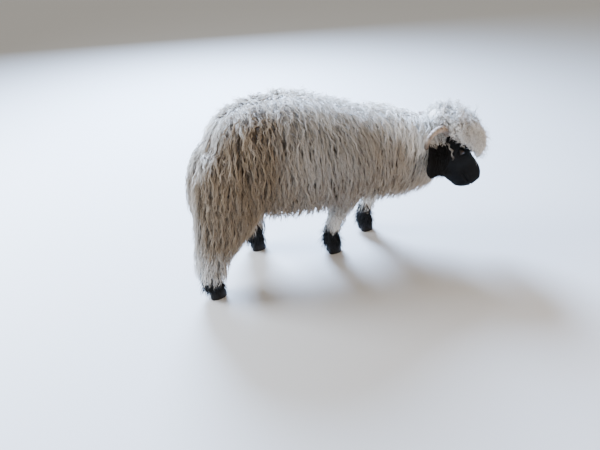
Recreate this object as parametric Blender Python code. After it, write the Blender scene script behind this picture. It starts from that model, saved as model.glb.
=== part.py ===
"""A life-size Valais blacknose lamb, standing still with its head lowered, as a museum shows one.

Metres, +Z up, +X ahead of the animal and +Y to its left. The origin is on the floor, under the middle
of the animal's bounding box. Body sizes are those of the flesh, and each station adds its depth of coat.
"""

import math
import random
from collections import namedtuple

import bmesh
import bpy
import numpy as np
from mathutils import Matrix, Vector

# Driving dimensions
BACK_HEIGHT = 0.527  # skin of the back above the floor, at its highest
HEAD_LENGTH = 0.243  # poll to the tip of the nose
FACE_PITCH = math.radians(52)  # how far the face points below the level
FACE_YAW = math.radians(-14)  # the head is turned to the animal's right
POLL = Vector((0.480, -0.068, 0.420))
GAP = 0.0003  # left between pieces that touch
ROOM = 0.0006  # left round the head, ears, horns and eyes where wool lies over them
LOOSEN = 2e-5  # how far the wool's points are moved at random, so that none lie on each other
ORIGIN = Vector((0.149, -0.006, 0.0))  # middle of the bounding box, in the frame of the stations
CORE_SHARE = 0.5  # how much of the coat's depth the core under the locks holds

# Feet: where each stands, under the middle of its pastern
FEET = {
    "hind_right": Vector((-0.312, -0.120, 0)),
    "hind_left": Vector((-0.122, 0.078, 0)),
    "fore_right": Vector((0.124, -0.034, 0)),
    "fore_left": Vector((0.297, 0.052, 0)),
}
BOOT_TOP = 0.098  # height where the black hair of the foot begins under the wool
CORONET = 0.030  # height of the upper edge of the hoof
HOOF_LENGTH = 0.050
CLAW_WIDTH = 0.021
CLAW_GAP = 0.004

EYE_RADIUS = 0.0125
EYE_PLACE = (0.088, 0.0445, 0.010)  # along the face, to the side, towards the forehead
LID_REACH = 0.0125  # half the length of the slit between the lids
LID_RADIUS = 0.0026
MOUTH_CORNER = 0.172  # along the face from the poll
MOUTH_TURN = math.radians(-22)  # how far below the side of the muzzle its line runs
MOUTH_DEPTH = 0.0045
MOUTH_WIDTH = 0.0011
LID_POINTS = 10
LID_LIFT = 0.0012  # of the lids' path over the eyeball
LID_OPENING = 0.72  # height of the almond between the lids as a share of its length
NOSTRIL = (0.0025, 0.0035, 0.0068)  # half sizes
NOSTRIL_PLACE = (0.2385, 0.0155, 0.013)
NOSTRIL_LEAN = math.radians(-38)
EAR_ROOT = (0.026, 0.040, -0.012)  # along the face, to the side, towards the forehead
EAR_LENGTH = 0.084
EAR_WIDTH = 0.072
EAR_THICKNESS = 0.0032
EAR_SPREAD = 0.074  # how far the ear stands out from its root
# How far behind its root the ear of each side begins and ends. The left one is carried further forward,
# because the turned head brings the wool of the neck close to it.
EAR_BACK = {1: (0.010, 0.022), -1: (0.036, 0.064)}
EAR_CUP = 0.012  # depth of its hollow
EAR_FACING = (0.22, 0.95, 0.10)  # the way the hollow looks: ahead, out to its side and up
HORN_RADIUS = 0.0150
HORN_RIDGE = 0.06
HORN_TAPER = 0.55  # share of its radius that the horn loses by its tip
HORN_START = math.radians(20)
HORN_TURN = math.radians(176)
HORN_CURL = 0.047  # radius of the arc that the horn follows
HORN_TIGHTER = 0.16  # share by which that radius shrinks towards the tip
HORN_SIDE = 0.038  # from the middle of the head to the horn's root
HORN_SPREAD = 0.056  # how far the horn leans outwards
HORN_CENTRE = Vector((-0.037, 0, -0.019))
HORN_STEPS = 14
SHARP_FROM = math.radians(40)  # edges bent more than this are drawn sharp

# Rows of the foot from under the wool down to the hoof: shift ahead, height, then the half sizes to the
# side, to the front and to the back
BOOT = [
    (0.000, BOOT_TOP + 0.012, 0.010, 0.010, 0.010),
    (0.000, BOOT_TOP + 0.006, 0.019, 0.020, 0.021),
    (0.000, BOOT_TOP - 0.012, 0.021, 0.021, 0.024),
    (0.002, 0.062, 0.024, 0.024, 0.029),
    (0.007, 0.044, 0.024, 0.025, 0.028),
    (0.011, CORONET + 0.004, 0.024, 0.026, 0.026),
    (0.013, CORONET - 0.006, 0.023, 0.025, 0.024),
]
# A claw from above, in shares of its length ahead and its width outwards, and its levels: share of the
# height, scale of the outline, lean of the toe
CLAW_AHEAD = 0.012
CLAW_OUTLINE = [
    (-0.40, 0.0), (-0.44, 0.55), (-0.30, 0.95), (0.05, 1.0),
    (0.36, 0.82), (0.54, 0.42), (0.60, 0.06), (0.56, 0.0),
]
CLAW_LEVELS = [(0.0, 1.0, 0.0), (0.45, 0.97, -0.05), (0.80, 0.90, -0.12), (1.0, 0.84, -0.16)]

# x, y, z of the middle, then the half sizes to the side, over and under it, and the depth of coat.
# On a leg "over" is to the front and "under" is to the back.
Station = namedtuple("Station", "x y z side over under coat")

BACK_Z = 0.38
TORSO = [
    Station(-0.268, 0, BACK_Z - 0.005, 0.012, 0.012, 0.012, 0.030),
    Station(-0.258, 0, BACK_Z - 0.005, 0.052, 0.056, 0.070, 0.034),
    Station(-0.225, 0, BACK_Z - 0.004, 0.084, 0.100, 0.110, 0.040),
    Station(-0.170, 0, BACK_Z - 0.002, 0.104, 0.128, 0.130, 0.046),
    Station(-0.095, 0, BACK_Z, 0.114, 0.139, 0.138, 0.050),
    Station(-0.015, 0, BACK_Z, 0.119, BACK_HEIGHT - BACK_Z, 0.144, 0.050),
    Station(0.095, 0, BACK_Z - 0.010, 0.117, 0.128, 0.143, 0.048),
    Station(0.185, 0, BACK_Z - 0.025, 0.104, 0.111, 0.130, 0.045),
    Station(0.255, 0, BACK_Z - 0.035, 0.078, 0.086, 0.100, 0.040),
    Station(0.290, 0, BACK_Z - 0.040, 0.040, 0.046, 0.052, 0.034),
    Station(0.300, 0, BACK_Z - 0.040, 0.010, 0.010, 0.012, 0.030),
]
NECK = [
    Station(0.165, 0, 0.375, 0.030, 0.040, 0.040, 0.045),
    Station(0.185, 0, 0.373, 0.078, 0.098, 0.116, 0.045),
    Station(0.260, -0.005, 0.360, 0.080, 0.096, 0.128, 0.050),
    Station(0.335, -0.015, 0.350, 0.074, 0.090, 0.124, 0.050),
    Station(0.405, -0.032, 0.352, 0.064, 0.080, 0.110, 0.046),
    Station(0.460, -0.050, 0.364, 0.052, 0.062, 0.086, 0.034),
    Station(0.490, -0.058, 0.370, 0.016, 0.020, 0.022, 0.020),
]
TAIL = [
    Station(-0.230, 0, 0.452, 0.012, 0.010, 0.010, 0.004),
    Station(-0.258, 0, 0.444, 0.016, 0.013, 0.011, 0.007),
    Station(-0.284, 0, 0.420, 0.018, 0.014, 0.010, 0.012),
    Station(-0.298, 0, 0.380, 0.017, 0.013, 0.010, 0.017),
    Station(-0.304, 0, 0.330, 0.015, 0.011, 0.010, 0.020),
    Station(-0.306, 0, 0.280, 0.012, 0.009, 0.009, 0.021),
    Station(-0.305, 0, 0.240, 0.009, 0.007, 0.007, 0.018),
    Station(-0.303, 0, 0.220, 0.004, 0.004, 0.004, 0.012),
]
LEGS = {
    "hind_right": [
        Station(-0.185, -0.050, 0.440, 0.020, 0.030, 0.030, 0.020),
        Station(-0.192, -0.056, 0.410, 0.045, 0.070, 0.060, 0.034),
        Station(-0.214, -0.070, 0.340, 0.048, 0.074, 0.068, 0.042),
        Station(-0.238, -0.084, 0.270, 0.042, 0.060, 0.058, 0.042),
        Station(-0.268, -0.097, 0.200, 0.030, 0.038, 0.040, 0.038),
        Station(-0.294, -0.107, 0.152, 0.021, 0.025, 0.029, 0.030),
        Station(-0.304, -0.114, 0.110, 0.017, 0.018, 0.019, 0.028),
        Station(-0.309, -0.118, 0.084, 0.018, 0.018, 0.020, 0.020),
        Station(-0.310, -0.119, 0.074, 0.012, 0.012, 0.013, 0.010),
    ],
    "hind_left": [
        Station(-0.160, 0.050, 0.440, 0.020, 0.030, 0.030, 0.020),
        Station(-0.160, 0.056, 0.410, 0.045, 0.070, 0.060, 0.034),
        Station(-0.156, 0.066, 0.340, 0.048, 0.074, 0.066, 0.040),
        Station(-0.142, 0.070, 0.270, 0.042, 0.058, 0.054, 0.038),
        Station(-0.140, 0.075, 0.200, 0.030, 0.036, 0.038, 0.032),
        Station(-0.137, 0.077, 0.152, 0.021, 0.024, 0.027, 0.026),
        Station(-0.128, 0.078, 0.110, 0.017, 0.018, 0.019, 0.024),
        Station(-0.124, 0.078, 0.084, 0.018, 0.018, 0.020, 0.018),
        Station(-0.123, 0.078, 0.074, 0.012, 0.012, 0.013, 0.010),
    ],
    "fore_right": [
        Station(0.180, -0.055, 0.420, 0.016, 0.030, 0.030, 0.020),
        Station(0.176, -0.058, 0.390, 0.034, 0.055, 0.055, 0.030),
        Station(0.166, -0.062, 0.310, 0.036, 0.052, 0.050, 0.034),
        Station(0.148, -0.056, 0.230, 0.026, 0.032, 0.032, 0.024),
        Station(0.138, -0.046, 0.160, 0.020, 0.022, 0.021, 0.014),
        Station(0.130, -0.040, 0.110, 0.016, 0.016, 0.017, 0.013),
        Station(0.126, -0.037, 0.084, 0.017, 0.017, 0.018, 0.010),
        Station(0.125, -0.036, 0.074, 0.011, 0.011, 0.012, 0.008),
    ],
    "fore_left": [
        Station(0.205, 0.055, 0.420, 0.016, 0.030, 0.030, 0.020),
        Station(0.212, 0.058, 0.390, 0.034, 0.055, 0.055, 0.030),
        Station(0.252, 0.062, 0.310, 0.036, 0.052, 0.050, 0.034),
        Station(0.296, 0.060, 0.230, 0.026, 0.032, 0.032, 0.024),
        Station(0.317, 0.057, 0.160, 0.020, 0.022, 0.021, 0.014),
        Station(0.309, 0.055, 0.110, 0.016, 0.016, 0.017, 0.013),
        Station(0.301, 0.053, 0.084, 0.017, 0.017, 0.018, 0.010),
        Station(0.298, 0.053, 0.074, 0.011, 0.011, 0.012, 0.008),
    ],
}

# In the head's own frame: along the face from the poll, then to the forehead's side
HEAD = [
    Station(-0.006, 0, -0.004, 0.012, 0.012, 0.012, 0),
    Station(0.000, 0, -0.003, 0.034, 0.028, 0.036, 0),
    Station(0.022, 0, -0.002, 0.051, 0.044, 0.066, 0),
    Station(0.055, 0, -0.003, 0.057, 0.048, 0.087, 0),
    Station(0.090, 0, -0.005, 0.056, 0.047, 0.090, 0),
    Station(0.125, 0, -0.006, 0.050, 0.045, 0.080, 0),
    Station(0.160, 0, -0.007, 0.043, 0.045, 0.068, 0),
    Station(0.195, 0, -0.006, 0.040, 0.047, 0.060, 0),
    Station(0.221, 0, -0.006, 0.038, 0.044, 0.053, 0),
    Station(0.237, 0, -0.008, 0.030, 0.033, 0.040, 0),
    Station(HEAD_LENGTH, 0, -0.009, 0.012, 0.013, 0.016, 0),
]
FORELOCK = [
    Station(-0.062, 0, 0.000, 0.012, 0.012, 0.012, 0.030),
    Station(-0.042, 0, 0.005, 0.032, 0.032, 0.028, 0.044),
    Station(0.000, 0, 0.014, 0.038, 0.040, 0.030, 0.056),
    Station(0.050, 0, 0.022, 0.038, 0.038, 0.026, 0.060),
    Station(0.095, 0, 0.035, 0.030, 0.030, 0.018, 0.056),
    Station(0.130, 0, 0.050, 0.022, 0.019, 0.012, 0.044),
    Station(0.150, 0, 0.058, 0.008, 0.006, 0.006, 0.028),
]
FORELOCK_UNDER = 0.2  # share of its coat that the forelock has on its lower side

# Finishes: colour in linear light and roughness
WOOL = ((0.70, 0.66, 0.58), 0.9)
BLACK_HAIR = ((0.012, 0.012, 0.014), 0.7)
HORN_SHEATH = ((0.36, 0.27, 0.18), 0.5)
HOOF_WALL = ((0.035, 0.030, 0.028), 0.45)
EYE_SURFACE = ((0.10, 0.055, 0.02), 0.08)

LEFT = Vector((0, 1, 0))
UP = Vector((0, 0, 1))

# A kind of lock: its length, half width and half thickness, the space between rows and between the
# locks of a row, the way it lies before it meets the body, its waviness, and the shares of the coat's
# depth that it passes from root to tip
Lock = namedtuple("Lock", "length width thick row_step step lie wave shares")
FLEECE = Lock(0.135, 0.0270, 0.0085, 0.058, 0.050, (-0.15, 0, -1), 0.010, (0.20, 0.70, 0.90, 1.03))
NECK_WOOL = Lock(0.120, 0.0240, 0.0080, 0.056, 0.046, (-0.22, 0, -1), 0.008, (0.20, 0.70, 0.90, 1.03))
LEG_WOOL = Lock(0.095, 0.0220, 0.0070, 0.052, 0.044, (0, 0, -1), 0.006, (0.20, 0.72, 0.94, 1.06))
TAIL_WOOL = Lock(0.085, 0.0150, 0.0060, 0.050, 0.038, (0, 0, -1), 0.006, (0.20, 0.70, 0.94, 1.10))
CURL = Lock(0.080, 0.0175, 0.0070, 0.046, 0.038, (0.75, 0, -0.45), 0.009, (0.20, 0.72, 0.98, 1.10))
PARTING = 0.8  # how strongly the locks on top of the animal fall to their own side
CREST = 0.45  # how far beyond the ridge of the back the first row is rooted, in rows
KEPT_FACES = 0.5  # share of the fused wool's triangles that is kept
KEPT_AFTER_CUT = 0.5  # share of a woolly node's triangles that is kept once it is cut out
JITTER = 0.16  # share of its size by which a lock differs from its neighbours
SEED = 8
COAT_STEPS = 8  # rows of a coat's path between two stations
LOCK_TAPER = (0.9, 1.0, 0.72)  # width of a lock at each ring from its root, as a share of its widest
LOCK_WAVES = 2.1  # radians of a lock's wave from one ring to the next


def clear_scene():
    for obj in list(bpy.data.objects):
        bpy.data.objects.remove(obj)


def material(name, colour, roughness):
    made = bpy.data.materials.new(name)
    made.use_nodes = True
    shader = made.node_tree.nodes["Principled BSDF"]
    shader.inputs["Base Color"].default_value = (*colour, 1)
    shader.inputs["Roughness"].default_value = roughness
    shader.inputs["Metallic"].default_value = 0
    return made


def object_from(name, points, faces):
    mesh = bpy.data.meshes.new(name)
    mesh.from_pydata([tuple(p) for p in points], [], faces)
    obj = bpy.data.objects.new(name, mesh)
    bpy.context.scene.collection.objects.link(obj)
    work = bmesh.new()
    work.from_mesh(mesh)
    bmesh.ops.recalc_face_normals(work, faces=work.faces)
    work.to_mesh(mesh)
    work.free()
    return obj


def smooth_rows(rows, steps):
    """Rows of numbers, made denser along a Catmull-Rom curve through them."""
    rows = np.array(rows, float)
    ends = np.vstack([2 * rows[0] - rows[1], rows, 2 * rows[-1] - rows[-2]])
    dense = []
    for a, b, c, d in zip(ends, ends[1:], ends[2:], ends[3:]):
        for t in np.arange(steps) / steps:
            dense.append(
                b + 0.5 * t * (c - a + t * (2 * a - 5 * b + 4 * c - d + t * (3 * (b - c) + d - a)))
            )
    return np.array([*dense, rows[-1]])


def path_frames(stations, lateral, steps):
    """Dense rows of a path, with the directions to its side and over it."""
    rows = smooth_rows(stations, steps)
    along = np.gradient(rows[:, :3], axis=0)
    along /= np.linalg.norm(along, axis=1)[:, None]
    lateral = np.array(lateral, float)
    side = lateral - along * (along @ lateral)[:, None]
    side /= np.linalg.norm(side, axis=1)[:, None]
    return rows, along, side, np.cross(along, side)


def loft_rings(stations, lateral, steps, sides, share=1.0, under_share=1.0, extra=0.0):
    """Rings of points round a path, out to that share of the coat and a little extra."""
    rows, along, side, over = path_frames(stations, lateral, steps)
    middle = rows[:, :3].copy()
    middle[0] -= along[0] * extra
    middle[-1] += along[-1] * extra
    grown = rows[:, 6] * share + extra
    wide = rows[:, 3] + grown
    high = rows[:, 4] + grown
    low = rows[:, 5] + grown * under_share
    rings = []
    for k in range(sides):
        turn = 2 * math.pi * (k + 0.5) / sides
        c, s = math.cos(turn), math.sin(turn)
        upright = high * s if s > 0 else low * s
        rings.append(middle + side * (wide * c)[:, None] + over * upright[:, None])
    return np.stack(rings, axis=1)


class Coat:
    """The wool over one form, asked by place along it, turn round it and share of the coat's depth."""

    def __init__(self, stations, lateral=LEFT, under_share=1.0):
        self.frames = path_frames(stations, lateral, COAT_STEPS)
        self.under_share = under_share
        middle = self.frames[0][:, :3]
        self.length = float(np.linalg.norm(np.diff(middle, axis=0), axis=1).sum())

    def sizes(self, rows, share):
        grown = rows[..., 6] * share
        return rows[..., 3] + grown, rows[..., 4] + grown, rows[..., 5] + grown * self.under_share

    def point(self, place, turn, share):
        spot = min(max(place, 0.0), 1.0) * (len(self.frames[0]) - 1)
        first = min(int(spot), len(self.frames[0]) - 2)
        row, _, side, over = (f[first] + (f[first + 1] - f[first]) * (spot - first) for f in self.frames)
        wide, high, low = self.sizes(row, share)
        c, s = math.cos(turn), math.sin(turn)
        return row[:3] + side * (wide * c) + over * ((high if s > 0 else low) * s)

    def tangents(self, place, turn):
        near = 1e-3
        here = self.point(place, turn, 1)
        return (
            (self.point(place + near, turn, 1) - self.point(place - near, turn, 1)) / (2 * near),
            (self.point(place, turn + near, 1) - here) / near,
        )

    def walk(self, place, turn, lie, step):
        """A step over the wool in the direction of the lie, and the directions of that step."""
        forth, round_ = self.tangents(place, turn)
        normal = np.cross(round_, forth)
        normal /= np.linalg.norm(normal)
        if normal @ (self.point(place, turn, 1) - self.point(place, turn, 0)) < 0:
            normal = -normal
        way = np.array(lie, float)
        way -= normal * (way @ normal)
        way /= np.linalg.norm(way)
        change = np.linalg.lstsq(np.stack([forth, round_], 1), way * step, rcond=None)[0]
        change[1] = min(max(change[1], -0.9), 0.9)
        return min(max(place + change[0], 0.01), 0.99), turn + change[1], way, normal

    def holds(self, point, share):
        """Whether a point lies inside the wool."""
        rows, along, side, over = self.frames
        away = point - rows[:, :3]
        wide, high, low = self.sizes(rows, share)
        upright = (away * over).sum(1)
        tall = np.where(upright > 0, high, low)
        ring = ((away * side).sum(1) / wide) ** 2 + (upright / tall) ** 2
        reach = self.length / len(rows)
        return bool(np.any((np.abs((away * along).sum(1)) < reach) & (ring < 1)))


def tube_from(name, rings):
    """A closed tube through the rings, with a point in the middle of each end."""
    count, sides = rings.shape[:2]
    points = [*rings.reshape(-1, 3), rings[0].mean(0), rings[-1].mean(0)]
    faces = []
    for k in range(sides):
        n = (k + 1) % sides
        for r in range(count - 1):
            a, b = r * sides, (r + 1) * sides
            faces += [(a + k, a + n, b + n, b + k)]
        faces.append((k, count * sides, n))
        faces.append(((count - 1) * sides + k, (count - 1) * sides + n, count * sides + 1))
    return object_from(name, points, faces)


def loft(name, stations, lateral=LEFT, steps=2, sides=20, **how):
    return tube_from(name, loft_rings(stations, lateral, steps, sides, **how))


def boolean(target, operation, others):
    """Joins the others to the target, or cuts by them, and removes them."""
    group = bpy.data.collections.new("operands")
    bpy.context.scene.collection.children.link(group)
    for other in others:
        for holder in other.users_collection:
            holder.objects.unlink(other)
        group.objects.link(other)
    modifier = target.modifiers.new(operation.lower(), "BOOLEAN")
    modifier.operation = operation
    modifier.operand_type = "COLLECTION"
    modifier.collection = group
    modifier.solver = "MANIFOLD"
    graph = bpy.context.evaluated_depsgraph_get()
    target.data = bpy.data.meshes.new_from_object(target.evaluated_get(graph))
    target.modifiers.clear()
    for other in others:
        bpy.data.objects.remove(other)
    bpy.data.collections.remove(group)
    return target


def triangulate(work):
    """Splits the faces into triangles, from its middle where a face would share a diagonal with others."""
    for _ in range(4):
        trial = work.copy()
        bmesh.ops.triangulate(trial, faces=trial.faces)
        crowded = [tuple(v.index for v in e.verts) for e in trial.edges if len(e.link_faces) > 2]
        trial.free()
        if not crowded:
            break
        work.verts.ensure_lookup_table()
        pierced = set()
        for a, b in crowded:
            first, second = work.verts[a], work.verts[b]
            edge = work.edges.get((first, second))
            own = set(edge.link_faces) if edge else set()
            pierced |= (set(first.link_faces) & set(second.link_faces)) - own
        bmesh.ops.poke(work, faces=list(pierced), center_mode="MEAN_WEIGHTED")
        work.verts.index_update()
    bmesh.ops.triangulate(work, faces=work.faces)


def loosen(obj, dice):
    """Moves every point by a hair, so that no two lie on each other and no face is flat to nothing."""
    for vert in obj.data.vertices:
        vert.co += Vector([dice.uniform(-LOOSEN, LOOSEN) for _ in range(3)])


def simplify(obj, share):
    """Drops the slivers that crossing locks leave, down to a share of the triangles."""
    modifier = obj.modifiers.new("simplify", "DECIMATE")
    modifier.ratio = share
    modifier.use_collapse_triangulate = True
    graph = bpy.context.evaluated_depsgraph_get()
    obj.data = bpy.data.meshes.new_from_object(obj.evaluated_get(graph))
    obj.modifiers.clear()
    return obj


def keep_largest(obj):
    """Leaves only the largest closed surface of the mesh."""
    work = bmesh.new()
    work.from_mesh(obj.data)
    triangulate(work)
    left = set(work.verts)
    shells = []
    while left:
        front = [left.pop()]
        shell = set(front)
        while front:
            for edge in front.pop().link_edges:
                for vert in edge.verts:
                    if vert in left:
                        left.discard(vert)
                        shell.add(vert)
                        front.append(vert)
        shells.append(shell)

    def volume(shell):
        faces = {face for vert in shell for face in vert.link_faces}
        return sum(f.verts[0].co.dot(f.verts[1].co.cross(f.verts[2].co)) for f in faces) / 6

    best = max(shells, key=volume)
    bmesh.ops.delete(work, geom=[v for v in work.verts if v not in best], context="VERTS")
    work.to_mesh(obj.data)
    work.free()
    return obj


def copy_of(obj, name):
    made = bpy.data.objects.new(name, obj.data.copy())
    bpy.context.scene.collection.objects.link(made)
    return made


def face_frame():
    """The head's own axes: along the face, to its left and towards the forehead."""
    ahead = Vector((
        math.cos(FACE_YAW) * math.cos(FACE_PITCH),
        math.sin(FACE_YAW) * math.cos(FACE_PITCH),
        -math.sin(FACE_PITCH),
    ))
    left = Vector((-math.sin(FACE_YAW), math.cos(FACE_YAW), 0))
    return ahead, left, ahead.cross(left)


AHEAD, FACE_LEFT, BROW = face_frame()
FACE_TURN = Matrix((AHEAD, FACE_LEFT, BROW)).transposed()
LEVEL_AHEAD = FACE_LEFT.cross(UP)


def on_face(along, left, up):
    return POLL + AHEAD * along + FACE_LEFT * left + BROW * up


def in_world(stations):
    """Stations of the head's frame, moved to where the head is held."""
    return [Station(*on_face(s.x, s.y, s.z), *s[3:]) for s in stations]


def cutting_box(name, low, high, turn=None, at=(0, 0, 0), shrink=0.0):
    """A box between two corners, turned about a point, a little smaller where it keeps a node's inside."""
    low = Vector(low) + Vector((shrink,) * 3)
    high = Vector(high) - Vector((shrink,) * 3)
    corners = [Vector((x, y, z)) for x in (low.x, high.x) for y in (low.y, high.y) for z in (low.z, high.z)]
    placed = [Vector(at) + (turn @ c if turn else c) for c in corners]
    faces = [(0, 1, 3, 2), (4, 6, 7, 5), (0, 4, 5, 1), (2, 3, 7, 6), (0, 2, 6, 4), (1, 5, 7, 3)]
    return object_from(name, placed, faces)


# Where thin cuts part the woolly body into nodes: low corner, high corner, lean about Y, pivot
LEAN_HIND = Matrix.Rotation(math.radians(-14), 3, "Y")
LEAN_NECK = Matrix.Rotation(math.radians(-12), 3, "Y")
REGIONS = {
    "tail": ((-0.20, -0.034, -0.200), (0, 0.034, 0.120), None, (-0.272, 0, 0.36)),
    "hindleg_right": ((-0.30, -0.30, -0.40), (0.075, -0.0005, 0.030), LEAN_HIND, (-0.205, 0, 0.26)),
    "hindleg_left": ((-0.25, 0.0005, -0.40), (0.110, 0.30, 0.030), None, (-0.165, 0, 0.26)),
    "foreleg_right": ((-0.075, -0.30, -0.30), (0.065, -0.0005, 0.010), None, (0.158, 0, 0.225)),
    "foreleg_left": ((-0.060, 0.0005, -0.30), (0.085, 0.30, 0.010), None, (0.250, 0, 0.225)),
    "forelock": ((-0.100, -0.20, -0.004), (0.30, 0.20, 0.30), FACE_TURN, POLL),
    "neck": ((0, -0.40, -0.40), (0.50, 0.40, 0.40), LEAN_NECK, (0.268, 0, 0.36)),
}


def region_box(name, shrink=0.0):
    low, high, turn, at = REGIONS[name]
    return cutting_box("region_" + name, low, high, turn, at, shrink)


def head_tube(name, extra=0.0):
    return loft(name, in_world(HEAD), FACE_LEFT, steps=2, sides=22, extra=extra)


def lids(name, sign, extra=0.0):
    """A rim round the eye: an almond whose points lie along the face."""
    along, side, up = EYE_PLACE
    stations = []
    for k in range(LID_POINTS + 1):
        turn = 2 * math.pi * k / LID_POINTS
        reach = LID_REACH * math.cos(turn)
        rise = LID_OPENING * LID_REACH * math.sin(turn)
        out = math.sqrt(max(0.0, (EYE_RADIUS + LID_LIFT) ** 2 - reach * reach - rise * rise))
        place = on_face(along + reach, sign * (side + out), up + rise)
        stations.append(Station(*place, LID_RADIUS, LID_RADIUS, LID_RADIUS, 0))
    rings = loft_rings(stations, FACE_LEFT, 1, 5, extra=extra)[:-1]
    sides = rings.shape[1]
    faces = []
    for r in range(LID_POINTS):
        for k in range(sides):
            a, b, n = r * sides, (r + 1) % LID_POINTS * sides, (k + 1) % sides
            faces.append((a + k, a + n, b + n, b + k))
    return object_from(name, rings.reshape(-1, 3), faces)


def mouth_line(name):
    """A thin wedge that follows the muzzle's surface from one corner of the mouth to the other."""
    face = Coat(in_world(HEAD), FACE_LEFT)
    first = MOUTH_CORNER / HEAD_LENGTH
    half = [face.point(first + (1 - first) * k / 5, MOUTH_TURN, 0) for k in range(6)]
    mirrored = [face.point(first + (1 - first) * k / 5, math.pi - MOUTH_TURN, 0) for k in range(6)]
    path = [*half, *reversed(mirrored)]
    wide, narrow = MOUTH_WIDTH * 2, MOUTH_WIDTH / 4
    points, faces = [], []
    for k, spot in enumerate(path):
        before, after = path[max(k - 1, 0)], path[min(k + 1, len(path) - 1)]
        along = Vector(after - before).normalized()
        out = along.cross(BROW).normalized()
        if out.dot(Vector(spot) - on_face(0.12, 0, 0)) < 0:
            out = -out
        for reach, rise in ((1, wide), (1, -wide), (-1, -narrow), (-1, narrow)):
            points.append(Vector(spot) + out * (MOUTH_DEPTH * reach) + BROW * rise)
    last = 4 * (len(path) - 1)
    for r in range(0, last, 4):
        faces += [(r + k, r + (k + 1) % 4, r + 4 + (k + 1) % 4, r + 4 + k) for k in range(4)]
    faces += [(3, 2, 1, 0), (last, last + 1, last + 2, last + 3)]
    return object_from(name, points, faces)


def nostril(name, sign):
    """A slanted oval hollow, wider at its inner end."""
    bpy.ops.mesh.primitive_uv_sphere_add(segments=8, ring_count=6, radius=1)
    ball = bpy.context.object
    ball.name = name
    lean = Matrix.Rotation(sign * NOSTRIL_LEAN, 3, "X")
    turned = FACE_TURN @ lean @ Matrix.Diagonal(NOSTRIL)
    along, side, up = NOSTRIL_PLACE
    ball.data.transform(Matrix.Translation(on_face(along, sign * side, up)) @ turned.to_4x4())
    return ball


def eyeball(name, sign, extra=0.0):
    along, side, up = EYE_PLACE
    bpy.ops.mesh.primitive_uv_sphere_add(
        segments=10, ring_count=7, radius=EYE_RADIUS + extra, location=on_face(along, sign * side, up)
    )
    ball = bpy.context.object
    ball.name = name
    ball.data.transform(ball.matrix_world)
    ball.matrix_world = Matrix.Identity(4)
    return ball


def horn_stations(sign):
    """The horn leaves the side of the poll, arches back over the ear and turns down behind it."""
    stations = []
    for k in range(HORN_STEPS + 1):
        t = k / HORN_STEPS
        angle = HORN_START + HORN_TURN * t
        curl = HORN_CURL * (1 - HORN_TIGHTER * t)
        radius = HORN_RADIUS * (1 - HORN_TAPER * t) * (1 + HORN_RIDGE * math.cos(math.pi * k))
        forth = HORN_CENTRE.x + curl * math.cos(angle)
        out = HORN_SIDE + HORN_SPREAD * math.sin(0.6 * math.pi * t)
        up = HORN_CENTRE.z + curl * math.sin(angle)
        place = POLL + LEVEL_AHEAD * forth + FACE_LEFT * (sign * out) + UP * up
        stations.append(Station(*place, radius, radius, radius, 0))
    return stations


def horn(name, sign, extra=0.0):
    return loft(name, horn_stations(sign), LEFT, steps=1, sides=10, extra=extra)


def ear(name, sign, extra=0.0):
    """A leaf-shaped cup that hangs from the side of the poll, its hollow to the front."""
    long_steps, cross_steps = 9, 6
    along, side, up = EAR_ROOT
    root = on_face(along, sign * side, up)
    outward = FACE_LEFT * sign
    facing = (outward * EAR_FACING[1] + Vector((EAR_FACING[0], 0, EAR_FACING[2]))).normalized()
    across = UP.cross(facing).normalized() * sign
    centres = []
    for i in range(long_steps + 1):
        t = i / long_steps
        drop = EAR_LENGTH * (t - 0.10 * math.sin(math.pi * t))
        back = EAR_BACK[sign][0] * (1 - t) + EAR_BACK[sign][1] * t
        reach = EAR_SPREAD * math.sin(math.pi / 2 * min(1, 1.5 * t))
        centres.append(root + outward * reach + Vector((-back, 0, -drop)))
    outer, inner = [], []
    for i, centre in enumerate(centres):
        t = i / long_steps
        way = (centres[min(i + 1, long_steps)] - centres[max(i - 1, 0)]).normalized()
        normal = way.cross(across).normalized() * sign
        half = 0.5 * EAR_WIDTH * (0.34 + 0.66 * math.sin(math.pi * (0.12 + 0.68 * t))) * (1 - t**8) + 0.004
        cup = EAR_CUP * math.sin(math.pi * (0.15 + 0.8 * t))
        for j in range(cross_steps + 1):
            u = 2 * j / cross_steps - 1
            middle = centre + across * ((half + extra) * u) - normal * (cup * (1 - u * u))
            middle += way * (extra * ((i == long_steps) - (i == 0)))
            thick = 0.5 * EAR_THICKNESS * (1 - 0.55 * u * u) + extra
            outer.append(middle - normal * thick)
            inner.append(middle + normal * thick)
    width = cross_steps + 1
    size = len(outer)
    faces = []
    for i in range(long_steps):
        for j in range(cross_steps):
            a = i * width + j
            b, c, d = a + 1, a + width, a + width + 1
            faces += [(a, b, d), (a, d, c), (size + a, size + d, size + b), (size + a, size + c, size + d)]
    rim = [*range(width)] + [i * width + width - 1 for i in range(1, long_steps + 1)]
    rim += [long_steps * width + j for j in range(width - 2, -1, -1)]
    rim += [i * width for i in range(long_steps - 1, 0, -1)]
    for a, b in zip(rim, rim[1:] + rim[:1]):
        faces += [(a, size + a, size + b), (a, size + b, b)]
    return object_from(name, outer + inner, faces)


def boot_stations(foot):
    x, y, _ = FEET[foot]
    return [Station(x + ahead, y, height, *half, 0) for ahead, height, *half in BOOT]


def boot(name, foot, extra=0.0):
    """The black foot under the wool: fetlock and pastern, flat where the hoof begins."""
    made = loft(name, boot_stations(foot), LEFT, steps=1, sides=16, extra=extra)
    x, y, _ = FEET[foot]
    under = cutting_box("under", (x - 0.1, y - 0.1, -0.05), (x + 0.1, y + 0.1, CORONET))
    return boolean(made, "DIFFERENCE", [under])


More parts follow.
